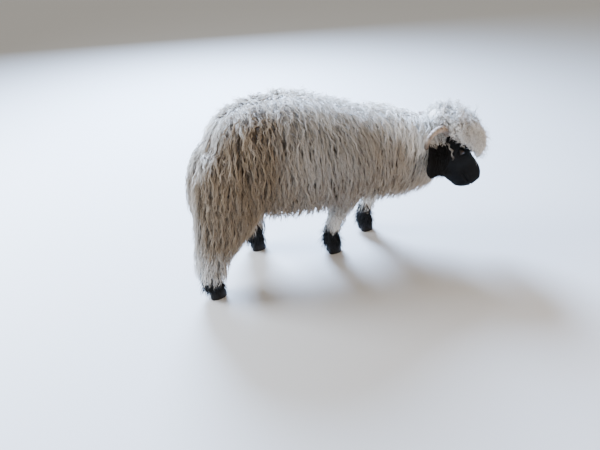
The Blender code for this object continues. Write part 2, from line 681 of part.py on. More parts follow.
def claw(name, foot, sign):
    """One of the two claws of a hoof, flat below, with a sloping toe and a rounded wall."""
    x, y, _ = FEET[foot]
    inner = y + sign * CLAW_GAP / 2
    points, faces = [], []
    for height, scale, lean in CLAW_LEVELS:
        for u, v in CLAW_OUTLINE:
            along = x + CLAW_AHEAD + HOOF_LENGTH * (u * scale + lean * max(0.0, u + 0.2))
            points.append((along, inner + sign * CLAW_WIDTH * v * scale, (CORONET - GAP) * height))
    count = len(CLAW_OUTLINE)
    for r in range(len(CLAW_LEVELS) - 1):
        for k in range(count):
            n = (k + 1) % count
            faces.append((r * count + k, r * count + n, (r + 1) * count + n, (r + 1) * count + k))
    faces.append(tuple(range(count)))
    faces.append(tuple(range((len(CLAW_LEVELS) - 1) * count, len(CLAW_LEVELS) * count)))
    return object_from(name, points, faces)


def lock(name, coat, spot, kind, scale, phase):
    """A flat, tapered lock that rises from the core, lies along the coat and ends in a point."""
    place, turn, side = spot
    steps = len(kind.shares) - 1
    rings = []
    tip = None
    for k, share in enumerate(kind.shares):
        centre = coat.point(place, turn, share)
        lie = lie_at(turn, side, kind)
        place, turn, way, normal = coat.walk(place, turn, lie, kind.length * scale / steps)
        across = np.cross(way, normal)
        centre = centre + across * (kind.wave * math.sin(phase + LOCK_WAVES * k))
        if k == steps:
            tip = centre
            break
        taper = LOCK_TAPER[k]
        wide = across * kind.width * scale * taper
        thick = normal * kind.thick * scale * taper
        rings.append([centre + wide - thick, centre + thick, centre - wide - thick])
    points = [p for ring in rings for p in ring] + [tip]
    faces = [(2, 1, 0)]
    last = 3 * (len(rings) - 1)
    for k in range(3):
        n = (k + 1) % 3
        for r in range(0, last, 3):
            faces.append((r + k, r + n, r + 3 + n, r + 3 + k))
        faces.append((last + k, last + n, last + 3))
    return object_from(name, points, faces)


def lie_at(turn, side, kind):
    """The way a lock falls: its kind's, and to its own side of the ridge on top of the animal."""
    return np.array(kind.lie) + np.array(LEFT) * (side * PARTING * max(0.0, math.sin(turn)))


def locks_down(coat, kind, dice, first=0.0, last=1.0, rings=False):
    """Places of locks in staggered rows: lines along the body, or rings round a limb."""
    spots = []
    if rings:
        count = max(2, round(coat.length * (last - first) / kind.row_step))
        for r in range(count):
            place = first + (last - first) * r / count
            across = np.linalg.norm(coat.point(place, 0, 1) - coat.point(place, math.pi, 1))
            number = max(3, round(math.pi * across / kind.step))
            for k in range(number):
                spots.append((place, 2 * math.pi * (k + 0.5 * (r % 2)) / number, 0))
    else:
        middle = (first + last) / 2
        half_round = sum(
            np.linalg.norm(coat.point(middle, a, 1) - coat.point(middle, a + 0.1, 1))
            for a in np.arange(-math.pi / 2, math.pi / 2, 0.1)
        )
        rows = round(half_round / kind.row_step)
        number = round(coat.length * (last - first) / kind.step)
        for side in (1, -1):
            for r in range(rows):
                turn = math.pi / 2 - side * math.pi * (r - CREST) / rows
                for k in range(number):
                    spots.append((first + (last - first) * (k + 0.5 * (r % 2)) / number, turn, side))
    along, round_ = JITTER * kind.step / coat.length, JITTER * 0.4
    return [
        (place + dice.uniform(-along, along), turn + dice.uniform(-round_, round_), side)
        for place, turn, side in spots
    ]


def coats():
    """Every woolly form, with its kind of lock and how its rows run."""
    curls = Coat(in_world(FORELOCK), FACE_LEFT, FORELOCK_UNDER)
    listed = [
        ("trunk", Coat(TORSO), FLEECE, {"first": 0.04, "last": 0.80}),
        ("neck", Coat(NECK), NECK_WOOL, {"first": 0.16, "last": 0.95}),
        ("tail", Coat(TAIL), TAIL_WOOL, {"first": 0.10, "last": 0.86, "rings": True}),
        ("forelock", curls, CURL, {"first": 0.05, "last": 0.92}),
    ]
    listed += [
        (name, Coat(stations), LEG_WOOL, {"first": 0.22, "last": 0.92, "rings": True})
        for name, stations in LEGS.items()
    ]
    return listed


def wool_body():
    """Every woolly part of the body as one closed form: a core with locks over it."""
    dice = random.Random(SEED)
    trunk = loft("wool", TORSO, steps=1, sides=14, share=CORE_SHARE)
    parts = [loft("neck_form", NECK, steps=1, sides=12, share=CORE_SHARE)]
    parts += [loft("leg_" + k, v, steps=1, sides=8, share=CORE_SHARE) for k, v in LEGS.items()]
    parts.append(loft("tail_form", TAIL, steps=1, sides=8, share=CORE_SHARE))
    parts.append(loft(
        "forelock_form", in_world(FORELOCK), FACE_LEFT, steps=1, sides=10, share=CORE_SHARE,
        under_share=FORELOCK_UNDER,
    ))
    woolly = coats()
    for order, (name, coat, kind, rows) in enumerate(woolly):
        hides = [(other[1], 1.10 if k < order else 0.7) for k, other in enumerate(woolly) if k != order]
        kept = 0
        for spot in locks_down(coat, kind, dice, **rows):
            scale = 1 + dice.uniform(-1, 1) * JITTER
            phase = dice.uniform(0, 2 * math.pi)
            place, turn, side = spot
            there = coat.point(*coat.walk(place, turn, lie_at(turn, side, kind), kind.length * 0.5)[:2], 0.8)
            if any(other.holds(there, share) for other, share in hides):
                continue
            parts.append(lock(f"lock_{name}_{kept}", coat, spot, kind, scale, phase))
            kept += 1
        print(name, kept, "locks")
    return simplify(keep_largest(boolean(trunk, "UNION", parts)), KEPT_FACES)


def head_cutters():
    """The head, ears, horns and eyes, grown a little, to be cut from the wool round them."""
    made = [head_tube("head_room", ROOM)]
    for side, sign in (("left", 1), ("right", -1)):
        made.append(ear("ear_room_" + side, sign, ROOM))
        made.append(horn("horn_room_" + side, sign, ROOM))
        made.append(eyeball("eye_room_" + side, sign, ROOM))
        made.append(lids("lid_room_" + side, sign, ROOM))
    return made


def keep_region(obj, name, taken, gap):
    """Cuts an object to its region, clear of the regions taken before."""
    if name in REGIONS:
        boolean(obj, "INTERSECT", [region_box(name, gap / 2)])
    if taken:
        boolean(obj, "DIFFERENCE", [region_box(other, -gap / 2) for other in taken])
    return keep_largest(obj)


def part_wool(body):
    """The woolly body cut into its nodes by thin planar gaps."""
    nodes = {}
    taken = []
    for name in (*REGIONS, "torso"):
        node = copy_of(body, name)
        simplify(keep_region(node, name, taken, GAP), KEPT_AFTER_CUT)
        nodes[name] = keep_region(node, name, taken, GAP / 2)
        taken.append(name)
    bpy.data.objects.remove(body)
    return nodes


def finish(obj, surface):
    keep_largest(obj)
    obj.data.materials.clear()
    obj.data.materials.append(material(obj.name, *surface))


def hang_on_centre(obj, lamb):
    """Puts the object's own origin in the middle of its box and parents it to the lamb."""
    corners = [Vector(corner) for corner in obj.bound_box]
    middle = (corners[0] + corners[6]) / 2
    obj.data.transform(Matrix.Translation(-middle))
    obj.location = middle
    obj.parent = lamb


def build():
    clear_scene()
    nodes = part_wool(wool_body())
    for name in ("forelock", "neck"):
        boolean(nodes[name], "DIFFERENCE", head_cutters())
    for foot in FEET:
        leg = foot.replace("_", "leg_")
        boolean(nodes[leg], "DIFFERENCE", [boot("boot_room", foot, GAP)])
    dice = random.Random(SEED)
    for obj in nodes.values():
        finish(obj, WOOL)
        loosen(obj, dice)

    head = boolean(head_tube("head"), "UNION", [lids("lids_" + str(s), s) for s in (1, -1)])
    cutters = [eyeball("socket_" + str(s), s, GAP) for s in (1, -1)]
    cutters += [nostril("nostril_" + str(s), s) for s in (1, -1)]
    boolean(head, "DIFFERENCE", [*cutters, mouth_line("mouth")])
    finish(head, BLACK_HAIR)
    for side, sign in (("left", 1), ("right", -1)):
        finish(eyeball("eye_" + side, sign), EYE_SURFACE)
        rooms = [head_tube("room", GAP), horn("horn_room", sign, GAP)]
        finish(boolean(ear("ear_" + side, sign), "DIFFERENCE", rooms), BLACK_HAIR)
        finish(boolean(horn("horn_" + side, sign), "DIFFERENCE", [head_tube("room", GAP)]), HORN_SHEATH)
    for foot in FEET:
        finish(boot("foot_" + foot, foot), BLACK_HAIR)
        for side, sign in (("left", 1), ("right", -1)):
            finish(claw(f"claw_{foot}_{side}", foot, sign), HOOF_WALL)

    pieces = list(bpy.data.objects)
    lamb = bpy.data.objects.new("lamb", None)
    bpy.context.scene.collection.objects.link(lamb)
    lamb.location = -ORIGIN
    for obj in pieces:
        obj.data.shade_smooth()
        obj.data.set_sharp_from_angle(angle=SHARP_FROM)
        hang_on_centre(obj, lamb)


build()
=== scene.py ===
# %% [markdown]
# # A Valais blacknose lamb
# A lamb of this breed wears a long off-white fleece in thin wavy locks. Its face, ears, knees and feet
# are black, and a woolly forelock hangs over its brow between two small ribbed horns.
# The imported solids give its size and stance. Here they get one smooth skin, with the coat over it
# as thin strands of real mesh, so that it looks woolly from every side.

import math
from collections import namedtuple

import bmesh
import bpy
import numpy as np
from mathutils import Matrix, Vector
from mathutils.bvhtree import BVHTree


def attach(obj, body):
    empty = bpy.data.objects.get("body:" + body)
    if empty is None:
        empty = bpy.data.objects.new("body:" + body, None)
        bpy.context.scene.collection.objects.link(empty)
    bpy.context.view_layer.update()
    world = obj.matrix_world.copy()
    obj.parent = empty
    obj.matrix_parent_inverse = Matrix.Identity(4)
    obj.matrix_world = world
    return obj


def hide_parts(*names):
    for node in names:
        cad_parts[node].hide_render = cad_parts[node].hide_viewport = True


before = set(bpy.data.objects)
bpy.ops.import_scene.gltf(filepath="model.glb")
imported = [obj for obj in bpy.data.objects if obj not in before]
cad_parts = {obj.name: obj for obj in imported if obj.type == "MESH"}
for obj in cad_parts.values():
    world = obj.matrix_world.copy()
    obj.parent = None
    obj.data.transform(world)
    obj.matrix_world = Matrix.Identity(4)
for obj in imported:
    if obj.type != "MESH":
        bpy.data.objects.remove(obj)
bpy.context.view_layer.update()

# %% [markdown]
# ## Sizes
# The forms of the flesh are tubes through stations, as in the solids. A row has a place, half sizes
# to the side, over and under it, and the depth of coat there, all in millimetres. On a leg "over" is
# to the front. Everything is shifted so that the origin is on the floor under the middle of the animal.

# %% Stations of the body
SEED = 11
ORIGIN = np.array((0.149, -0.006, 0.0))
LEFT, UP, DOWN = np.array((0, 1.0, 0)), np.array((0, 0, 1.0)), np.array((0, 0, -1.0))
Station = namedtuple("Station", "x y z side over under coat")


def stations(*rows):
    return [Station(*(v / 1000 for v in row)) for row in rows]


TORSO = stations(
    (-268, 0, 375, 12, 12, 12, 30), (-258, 0, 375, 52, 56, 70, 34), (-225, 0, 376, 84, 100, 110, 40),
    (-170, 0, 378, 104, 128, 130, 46), (-95, 0, 380, 114, 139, 138, 50), (-15, 0, 380, 119, 147, 144, 50),
    (95, 0, 370, 117, 128, 143, 48), (185, 0, 355, 104, 111, 130, 45), (255, 0, 345, 78, 86, 100, 40),
    (290, 0, 340, 40, 46, 52, 34), (300, 0, 340, 10, 10, 12, 30),
)
NECK = stations(
    (165, 0, 375, 30, 40, 40, 45), (185, 0, 373, 78, 98, 116, 45), (260, -5, 360, 80, 96, 128, 50),
    (335, -15, 350, 74, 90, 124, 50), (405, -32, 352, 64, 80, 110, 46), (460, -50, 364, 52, 62, 86, 34),
    (490, -58, 370, 16, 20, 22, 20),
)
TAIL = stations(
    (-230, 0, 452, 12, 10, 10, 4), (-258, 0, 444, 16, 13, 11, 7), (-284, 0, 420, 18, 14, 10, 12),
    (-298, 0, 380, 17, 13, 10, 17), (-304, 0, 330, 15, 11, 10, 20), (-306, 0, 280, 12, 9, 9, 21),
    (-305, 0, 240, 9, 7, 7, 18), (-303, 0, 220, 4, 4, 4, 12),
)
LEGS = {
    "hind_right": stations(
        (-185, -50, 440, 20, 30, 30, 20), (-192, -56, 410, 45, 70, 60, 34), (-214, -70, 340, 48, 74, 68, 42),
        (-238, -84, 270, 42, 60, 58, 42), (-268, -97, 200, 30, 38, 40, 38), (-294, -107, 152, 21, 25, 29, 30),
        (-304, -114, 110, 17, 18, 19, 28), (-309, -118, 84, 18, 18, 20, 20), (-310, -119, 74, 12, 12, 13, 10),
    ),
    "hind_left": stations(
        (-160, 50, 440, 20, 30, 30, 20), (-160, 56, 410, 45, 70, 60, 34), (-156, 66, 340, 48, 74, 66, 40),
        (-142, 70, 270, 42, 58, 54, 38), (-140, 75, 200, 30, 36, 38, 32), (-137, 77, 152, 21, 24, 27, 26),
        (-128, 78, 110, 17, 18, 19, 24), (-124, 78, 84, 18, 18, 20, 18), (-123, 78, 74, 12, 12, 13, 10),
    ),
    "fore_right": stations(
        (180, -55, 420, 16, 30, 30, 20), (176, -58, 390, 34, 55, 55, 30), (166, -62, 310, 36, 52, 50, 34),
        (148, -56, 230, 26, 32, 32, 24), (138, -46, 160, 20, 22, 21, 14), (130, -40, 110, 16, 16, 17, 13),
        (126, -37, 84, 17, 17, 18, 10), (125, -36, 74, 11, 11, 12, 8),
    ),
    "fore_left": stations(
        (205, 55, 420, 16, 30, 30, 20), (212, 58, 390, 34, 55, 55, 30), (252, 62, 310, 36, 52, 50, 34),
        (296, 60, 230, 26, 32, 32, 24), (317, 57, 160, 20, 22, 21, 14), (309, 55, 110, 16, 16, 17, 13),
        (301, 53, 84, 17, 17, 18, 10), (298, 53, 74, 11, 11, 12, 8),
    ),
}
print(sum(map(len, (TORSO, NECK, TAIL, *LEGS.values()))), "stations of the body")

# %% The head's own frame
POLL = np.array((0.480, -0.068, 0.420)) - ORIGIN
HEAD_LENGTH = 0.243
PITCH, YAW = math.radians(52), math.radians(-14)
AHEAD = np.array((math.cos(YAW) * math.cos(PITCH), math.sin(YAW) * math.cos(PITCH), -math.sin(PITCH)))
FACE_LEFT = np.array((-math.sin(YAW), math.cos(YAW), 0))
BROW = np.cross(AHEAD, FACE_LEFT)
LEVEL_AHEAD = np.cross(FACE_LEFT, UP)

# Along the face from the poll, to its left, and towards the forehead
HEAD = stations(
    (-6, 0, -4, 12, 12, 12, 0), (0, 0, -3, 34, 28, 36, 0), (22, 0, -2, 51, 44, 66, 0),
    (55, 0, -3, 57, 48, 87, 0), (90, 0, -5, 56, 47, 90, 0), (125, 0, -6, 50, 45, 80, 0),
    (160, 0, -7, 43, 45, 68, 0), (195, 0, -6, 40, 47, 60, 0), (221, 0, -6, 38, 44, 53, 0),
    (237, 0, -8, 30, 33, 40, 0), (242.4, 0, -8.7, 15, 15, 18, 0), (243.2, 0, -8.8, 2, 2, 2, 0),
)
FORELOCK = stations(
    (-62, 0, 0, 12, 12, 12, 30), (-42, 0, 5, 32, 32, 28, 44), (0, 0, 14, 38, 40, 30, 56),
    (50, 0, 22, 38, 38, 26, 60), (95, 0, 35, 30, 30, 18, 56), (130, 0, 50, 22, 19, 12, 44),
    (150, 0, 58, 8, 6, 6, 28),
)
FORELOCK_UNDER = 0.2  # share of its coat that the forelock has on its lower side


def on_face(along, left, up):
    """A place of the head's frame, or many, in the world."""
    return POLL + sum(np.multiply.outer(*pair) for pair in ((along, AHEAD), (left, FACE_LEFT), (up, BROW)))


def face_coords(points):
    """World places as along, left and up on the head."""
    away = np.asarray(points) - POLL
    return away @ AHEAD, away @ FACE_LEFT, away @ BROW


print("nose at", on_face(HEAD_LENGTH, 0, -0.007).round(3))

# %% [markdown]
# ## Shapes from tubes
# A tube is a stack of rings round a path. Its half sizes change along the way, so a few stations
# give a belly, a thigh or a muzzle. A Catmull-Rom curve through the stations keeps it smooth.

# %% Rings round a path
def smooth_rows(rows, steps):
    """Rows of numbers, made denser along a Catmull-Rom curve through them."""
    rows = np.array(rows, float)
    ends = np.vstack([2 * rows[0] - rows[1], rows, 2 * rows[-1] - rows[-2]])
    dense = []
    for a, b, c, d in zip(ends, ends[1:], ends[2:], ends[3:]):
        for t in np.arange(steps) / steps:
            dense.append(b + 0.5 * t * (c - a + t * (2 * a - 5 * b + 4 * c - d + t * (3 * (b - c) + d - a))))
    return np.array([*dense, rows[-1]])


def unit(vectors):
    return vectors / np.maximum(np.linalg.norm(vectors, axis=-1, keepdims=True), 1e-9)


def rings_of(form, steps, sides, lateral=LEFT, share=0.0, under_share=1.0, inset=0.0):
    """Rings of points round a path, out to that share of the coat, less an inset."""
    rows = smooth_rows(form, steps)
    along = unit(np.gradient(rows[:, :3], axis=0))
    side = unit(lateral - along * (along @ lateral)[:, None])
    over = np.cross(along, side)
    grown = rows[:, 6] * share - inset
    turn = 2 * math.pi * (np.arange(sides) + 0.5) / sides
    c, s = np.cos(turn), np.sin(turn)
    wide = (rows[:, 3] + grown)[:, None] * c
    tall = np.where(s > 0, (rows[:, 4] + grown)[:, None], (rows[:, 5] + grown * under_share)[:, None]) * s
    return rows[:, None, :3] + side[:, None] * wide[..., None] + over[:, None] * tall[..., None]


def quads(grid):
    """Faces between the neighbours in a grid of point numbers."""
    return np.stack([grid[:-1, :-1], grid[:-1, 1:], grid[1:, 1:], grid[1:, :-1]], -1).reshape(-1, 4)


def pairs_of(ring):
    """Each number of a ring with the next one."""
    return [*zip(ring.tolist(), np.roll(ring, -1).tolist())]


def tube_of(rings):
    """Points and faces of a closed tube through the rings."""
    points = np.vstack([rings.reshape(-1, 3), rings[0].mean(0), rings[-1].mean(0)])
    grid = np.arange(len(points) - 2).reshape(rings.shape[:2])
    walls = quads(grid[:, [*range(grid.shape[1]), 0]]).tolist()
    first = [(a, grid.size, b) for a, b in pairs_of(grid[0])]
    return points, walls + first + [(a, b, grid.size + 1) for a, b in pairs_of(grid[-1])]


def on_head(form):
    return [Station(*on_face(s.x, s.y, s.z), *s[3:]) for s in form]


def at_home(form):
    return [Station(*(np.array(s[:3]) - ORIGIN), *s[3:]) for s in form]


# %% Meshes from points and faces
def placed(name, data):
    """A new object in the scene."""
    obj = bpy.data.objects.new(name, data)
    bpy.context.scene.collection.objects.link(obj)
    return obj


def shape_of(name, shapes):
    """One object from several (points, faces) pairs, its faces turned outwards."""
    points, faces = [], []
    for own_points, own_faces in shapes:
        start = len(points)
        points += [tuple(p) for p in own_points]
        faces += [tuple(start + v for v in face) for face in own_faces]
    mesh = bpy.data.meshes.new(name)
    mesh.from_pydata(points, [], faces)
    work = bmesh.new()
    work.from_mesh(mesh)
    bmesh.ops.recalc_face_normals(work, faces=work.faces)
    work.to_mesh(mesh)
    work.free()
    return placed(name, mesh)


def settled(obj):
    """Turns an object's modifiers into plain mesh."""
    graph = bpy.context.evaluated_depsgraph_get()
    old = obj.data
    obj.data = bpy.data.meshes.new_from_object(obj.evaluated_get(graph))
    obj.modifiers.clear()
    bpy.data.meshes.remove(old)
    return obj


def wrapped(name, tubes, voxel, rounds):
    """Overlapping tubes wrapped in one even surface and softened where they join."""
    obj = shape_of(name, tubes)
    wrap = obj.modifiers.new("wrap", "REMESH")
    wrap.mode = "VOXEL"
    wrap.voxel_size = voxel
    obj.modifiers.new("soften", "SMOOTH").iterations = rounds
    return settled(obj)


def listed(items, key, width, kind=np.float32):
    """One property of all items of a mesh, as an array with a row for each."""
    values = np.empty(len(items) * width, kind)
    items.foreach_get(key, values)
    return values.reshape(-1, width)


def arrays_of(mesh):
    """A mesh's points, its triangles and its point normals."""
    mesh.calc_loop_triangles()
    points, normals = listed(mesh.vertices, "co", 3), listed(mesh.vertex_normals, "vector", 3)
    return points.astype(float), listed(mesh.loop_triangles, "vertices", 3, np.int32), normals.astype(float)


# %% [markdown]
# ## The skin
# The flesh under the coat is one skin. The trunk, neck, tail and legs overlap as tubes, and a voxel
# wrap makes one surface of them. The head is a finer grid that is pressed into shape, because its
# lids, nostrils and lips are only millimetres wide.

# %% Trunk, neck, tail and legs under the wool
SKIN_SHARE, BROW_SHARE = 0.42, 0.15  # how far into the depth of coat the flesh reaches
FLESH_VOXEL, FLEECE_VOXEL, FORELOCK_VOXEL = 0.006, 0.008, 0.005
STEPS, SIDES = 4, 36  # rings from one station to the next, and points round a ring
body_forms = [at_home(form) for form in (TORSO, NECK, TAIL, *LEGS.values())]
body_tubes = [tube_of(rings_of(form, STEPS, SIDES, share=SKIN_SHARE)) for form in body_forms]
brow_tube = tube_of(rings_of(on_head(FORELOCK), STEPS, SIDES, FACE_LEFT, BROW_SHARE, FORELOCK_UNDER))
flesh = wrapped("flesh", [*body_tubes, brow_tube], FLESH_VOXEL, 6)
fleece_tubes = [tube_of(rings_of(form, STEPS, SIDES, share=1.0)) for form in body_forms]
fleece_top = wrapped("fleece_top", fleece_tubes, FLEECE_VOXEL, 8)
print("flesh", len(flesh.data.polygons), "faces, top of the fleece", len(fleece_top.data.polygons))

# %% The face, pressed out of a fine grid
EYE_PLACE = (0.088, 0.0445, 0.010)
EYE_RADIUS = 0.0125
NOSTRIL_PLACE = (0.2385, 0.0155, 0.013)
MOUTH_CORNER = 0.172
MOUTH_TURN = math.radians(-22)
NOSTRIL_LEAN = math.radians(38)
HAIR_ON_FACE = 0.0008


def hump(u, width):
    return np.exp(-(u / width) ** 2)


def ramp(u, low, high):
    t = np.clip((u - low) / (high - low), 0, 1)
    return t * t * (3 - 2 * t)


def head_grid():
    points, faces = tube_of(rings_of(on_head(HEAD), 14, 144, FACE_LEFT, inset=HAIR_ON_FACE))
    a, s, u = face_coords(points)
    side = abs(s)
    out = unit(points - on_face(np.clip(a, 0.02, 0.222), 0 * a, -0.006 + 0 * a))
    turn = np.arctan2(u + 0.006, side)
    push = np.zeros(len(points))
    # brow over the eye, cheek muscle, hollow behind the mouth, bridge of the nose
    push += 0.0040 * hump(a - 0.074, 0.016) * hump(side - 0.040, 0.016) * hump(u - 0.030, 0.012)
    push += 0.0030 * hump(a - 0.080, 0.030) * hump(u + 0.036, 0.022) * ramp(side, 0.02, 0.04)
    push -= 0.0035 * hump(a - 0.150, 0.020) * hump(u + 0.012, 0.016) * ramp(side, 0.01, 0.03)
    push += 0.0030 * hump(a - 0.150, 0.055) * hump(side, 0.014) * ramp(u, 0.0, 0.03)
    # socket of the eye, and the fold that runs forward from its corner
    off = np.sqrt((a - EYE_PLACE[0]) ** 2 + (u - EYE_PLACE[2]) ** 2)
    push -= 0.0070 * hump(off, 0.0125) * ramp(side, 0.02, 0.04)
    fold = hump(a - 0.113, 0.010) * hump(u - 0.003 + 0.25 * (a - 0.1), 0.0022)
    push -= 0.0018 * fold * ramp(side, 0.02, 0.035)
    # lips on both sides of the mouth's line, the line itself and the chin behind it
    on_mouth = ramp(a, MOUTH_CORNER - 0.004, MOUTH_CORNER + 0.008)
    on_mouth *= ramp(np.hypot(side, u + 0.008), 0.004, 0.012)
    push += 0.0016 * on_mouth * (hump(turn - MOUTH_TURN - 0.17, 0.11) + hump(turn - MOUTH_TURN + 0.17, 0.11))
    push -= 0.0042 * on_mouth * hump(turn - MOUTH_TURN, 0.050)
    push += 0.0022 * hump(a - 0.222, 0.010) * ramp(-u, 0.025, 0.04)
    # nostrils as slanted commas with a soft rim, and the groove between them down to the lip
    n_s, n_u = side - NOSTRIL_PLACE[1], u - NOSTRIL_PLACE[2]
    long_way = n_u * math.cos(NOSTRIL_LEAN) + n_s * math.sin(NOSTRIL_LEAN)
    short_way = n_s * math.cos(NOSTRIL_LEAN) - n_u * math.sin(NOSTRIL_LEAN) - 14 * long_way ** 2
    front = ramp(a, 0.205, 0.225)
    ring = np.sqrt((long_way / 0.0085) ** 2 + (short_way / 0.0040) ** 2)
    push += 0.0014 * front * hump(ring - 1.35, 0.45)
    push -= 0.0065 * front * (1 - ramp(ring, 0.25, 1.05))
    groove = hump(side, 0.0016) * ramp(0.006 - u, 0.0, 0.01) * ramp(turn, MOUTH_TURN - 0.1, MOUTH_TURN + 0.1)
    push -= 0.0018 * front * groove
    return points + out * push[:, None], faces


face_part = head_grid()
print("face", len(face_part[0]), "points")

# %% The lids
def lid_ring(sign):
    """A soft almond rim round the eye: its points lie along the face."""
    along, side, up = EYE_PLACE
    count, sides = 40, 10
    turn = 2 * math.pi * np.arange(count) / count
    reach = 0.0122 * np.cos(turn)
    rise = 0.0088 * np.sin(turn) * (1 + 0.10 * np.cos(turn))
    out = np.sqrt(np.maximum((EYE_RADIUS + 0.0006) ** 2 - reach ** 2 - rise ** 2, 0))
    path = on_face(along + reach, sign * (side + out), up + rise)
    outward = unit(path - on_face(along, sign * side, up))
    forward = unit(np.roll(path, -1, 0) - np.roll(path, 1, 0))
    across = np.cross(forward, outward)
    thick = 0.0022 + 0.0006 * np.sin(turn)
    points = []
    for a in (2 * math.pi * k / sides for k in range(sides)):
        off = outward * math.cos(a) * 0.8 + across * math.sin(a) * 1.25 * sign
        points.append(path + off * thick[:, None])
    grid = np.pad(np.arange(count * sides).reshape(count, sides), ((0, 1), (0, 1)), "wrap")
    return np.stack(points, 1).reshape(-1, 3), quads(grid).tolist()


lids = [lid_ring(1), lid_ring(-1)]
print("lids", sum(len(points) for points, _ in lids), "points")

# %% The ears
# How far behind its root the ear hangs, at the root and at the tip. The head is turned to its right, which
# brings the left ear's root close to the neck, so that ear hangs further forward to be clear of the wool.
EAR_BACK = {1: (0.010, 0.022), -1: (0.036, 0.064)}


def ear_leaf(sign):
    """A leaf-shaped cup that hangs from the side of the poll, its hollow to the front."""
    root = on_face(0.026, sign * 0.040, -0.012)
    outward = FACE_LEFT * sign
    facing = unit(outward * 0.95 + np.array((0.22, 0, 0.10)))
    across = unit(np.cross(UP, facing)) * sign
    t = np.linspace(0, 1, 31)
    drop = 0.084 * (t - 0.10 * np.sin(math.pi * t))
    back = EAR_BACK[sign][0] * (1 - t) + EAR_BACK[sign][1] * t
    reach = 0.074 * np.sin(math.pi / 2 * np.minimum(1, 1.5 * t))
    centres = root + np.outer(reach, outward) - np.outer(back, (1, 0, 0)) + np.outer(drop, DOWN)
    normal = unit(np.cross(unit(np.gradient(centres, axis=0)), across)) * sign
    half = 0.036 * (0.34 + 0.66 * np.sin(math.pi * (0.12 + 0.68 * t))) * (1 - t ** 8) + 0.004 - HAIR_ON_FACE
    cup = 0.013 * np.sin(math.pi * (0.15 + 0.8 * t))
    u = np.linspace(-1, 1, 17)
    middle = centres[:, None] + across * (half[:, None] * u)[..., None]
    middle = middle - normal[:, None] * (cup[:, None] * (1 - u * u))[..., None]
    thick = normal[:, None] * (0.0007 + 0.0009 * (1 - u * u))[:, None]
    # an outer and an inner sheet, and the rim that joins them
    grid = np.arange(t.size * u.size).reshape(t.size, u.size)
    sheet = quads(grid)
    faces = np.stack([sheet, sheet[:, (0, 3, 2, 1)] + grid.size], 1).reshape(-1, 4)
    rim = np.concatenate([grid[0], grid[1:, -1], grid[-1, -2::-1], grid[-2:0:-1, 0]])
    edge = [(a, a + grid.size, b + grid.size, b) for a, b in pairs_of(rim)]
    return np.stack([middle - thick, middle + thick]).reshape(-1, 3), faces.tolist() + edge


ears = [ear_leaf(1), ear_leaf(-1)]
print("the ears are", round(float(np.ptp(ears[0][0][:, 2])) * 1000), "mm high")

# %% The feet above the hoof
FEET = {
    "hind_right": (-0.312, -0.120), "hind_left": (-0.122, 0.078),
    "fore_right": (0.124, -0.034), "fore_left": (0.297, 0.052),
}
# how far ahead of the foot's place, how high, and half sizes to the side, to the front and to the back
BOOT = [
    (-0.001, 0.125, 0.012, 0.012, 0.012), (0.000, 0.116, 0.0175, 0.0175, 0.0185),
    (0.000, 0.104, 0.018, 0.018, 0.020), (0.000, 0.086, 0.0195, 0.020, 0.023),
    (0.002, 0.062, 0.023, 0.023, 0.028), (0.007, 0.044, 0.023, 0.024, 0.027),
    (0.011, 0.034, 0.0225, 0.0245, 0.025), (0.012, 0.028, 0.0215, 0.0235, 0.024),
]


def boot_tube(foot):
    x, y = FEET[foot]
    form = at_home([Station(x + ahead, y, z, *half, 0) for ahead, z, *half in BOOT])
    return tube_of(rings_of(form, STEPS, 28))


boots = [boot_tube(foot) for foot in FEET]
print(len(boots), "feet of", len(boots[0][0]), "points each")

# %% One skin
fine_parts = [face_part, *lids, *ears, *boots]
bare_skin = shape_of("bare_skin", fine_parts)
flesh_part = arrays_of(flesh.data)[0], [list(p.vertices) for p in flesh.data.polygons]
skin = shape_of("skin", [*fine_parts, flesh_part])
print("skin", len(skin.data.polygons), "faces")

# %% [markdown]
# ## Markings
# Skin and coat share their markings. Each point stores how black its hair is, and how brown its wool
# is painted, partly by dirt and partly as painted shade. Both come from where the point lies on the animal,
# so the two always agree.

# %% Where the hair is black
BLACK_TOPS = {"hind_right": 0.062, "hind_left": 0.138, "fore_right": 0.098, "fore_left": 0.084}
KNEES = ((0.155, -0.042, 0.128), (0.330, 0.070, 0.140))


def ripple(points, size):
    """A soft uneven pattern of about that size, between -1 and 1."""
    x, y, z = np.moveaxis(np.asarray(points) * (2 * math.pi / size), -1, 0)
    first, second = np.sin(x + 1.7 * np.sin(0.9 * y)), np.sin(1.3 * y + 1.9 * np.sin(1.1 * z))
    return (first + second + np.sin(1.1 * z + 2.1 * np.sin(0.8 * x))) / 3


def blackness(points):
    """1 where the hair is black: feet and the fronts of the knees. The head is marked apart."""
    points = np.asarray(points) + ORIGIN
    feet_at = np.array([FEET[foot] for foot in BLACK_TOPS])
    nearest = np.linalg.norm(points[..., None, :2] - feet_at, axis=-1).argmin(-1)
    tops = np.array(list(BLACK_TOPS.values()))[nearest]
    black = 1 - ramp(points[..., 2] + 0.006 * ripple(points, 0.03) - tops, -0.006, 0.006)
    for knee in KNEES:
        off = np.linalg.norm((points - knee) / (0.020, 0.022, 0.024), axis=-1)
        black = np.maximum(black, 1 - ramp(off + 0.15 * ripple(points, 0.02), 0.85, 1.1))
    return black


print("black up to", BLACK_TOPS)

# %% Where the wool is browned by dirt and painted shade
back_line = np.array([
    (-0.470, 0.39), (-0.430, 0.452), (-0.400, 0.490),
    *((s.x, s.z + s.over + s.coat) for s in (*body_forms[0][2:8], *body_forms[1][2:6])),
])
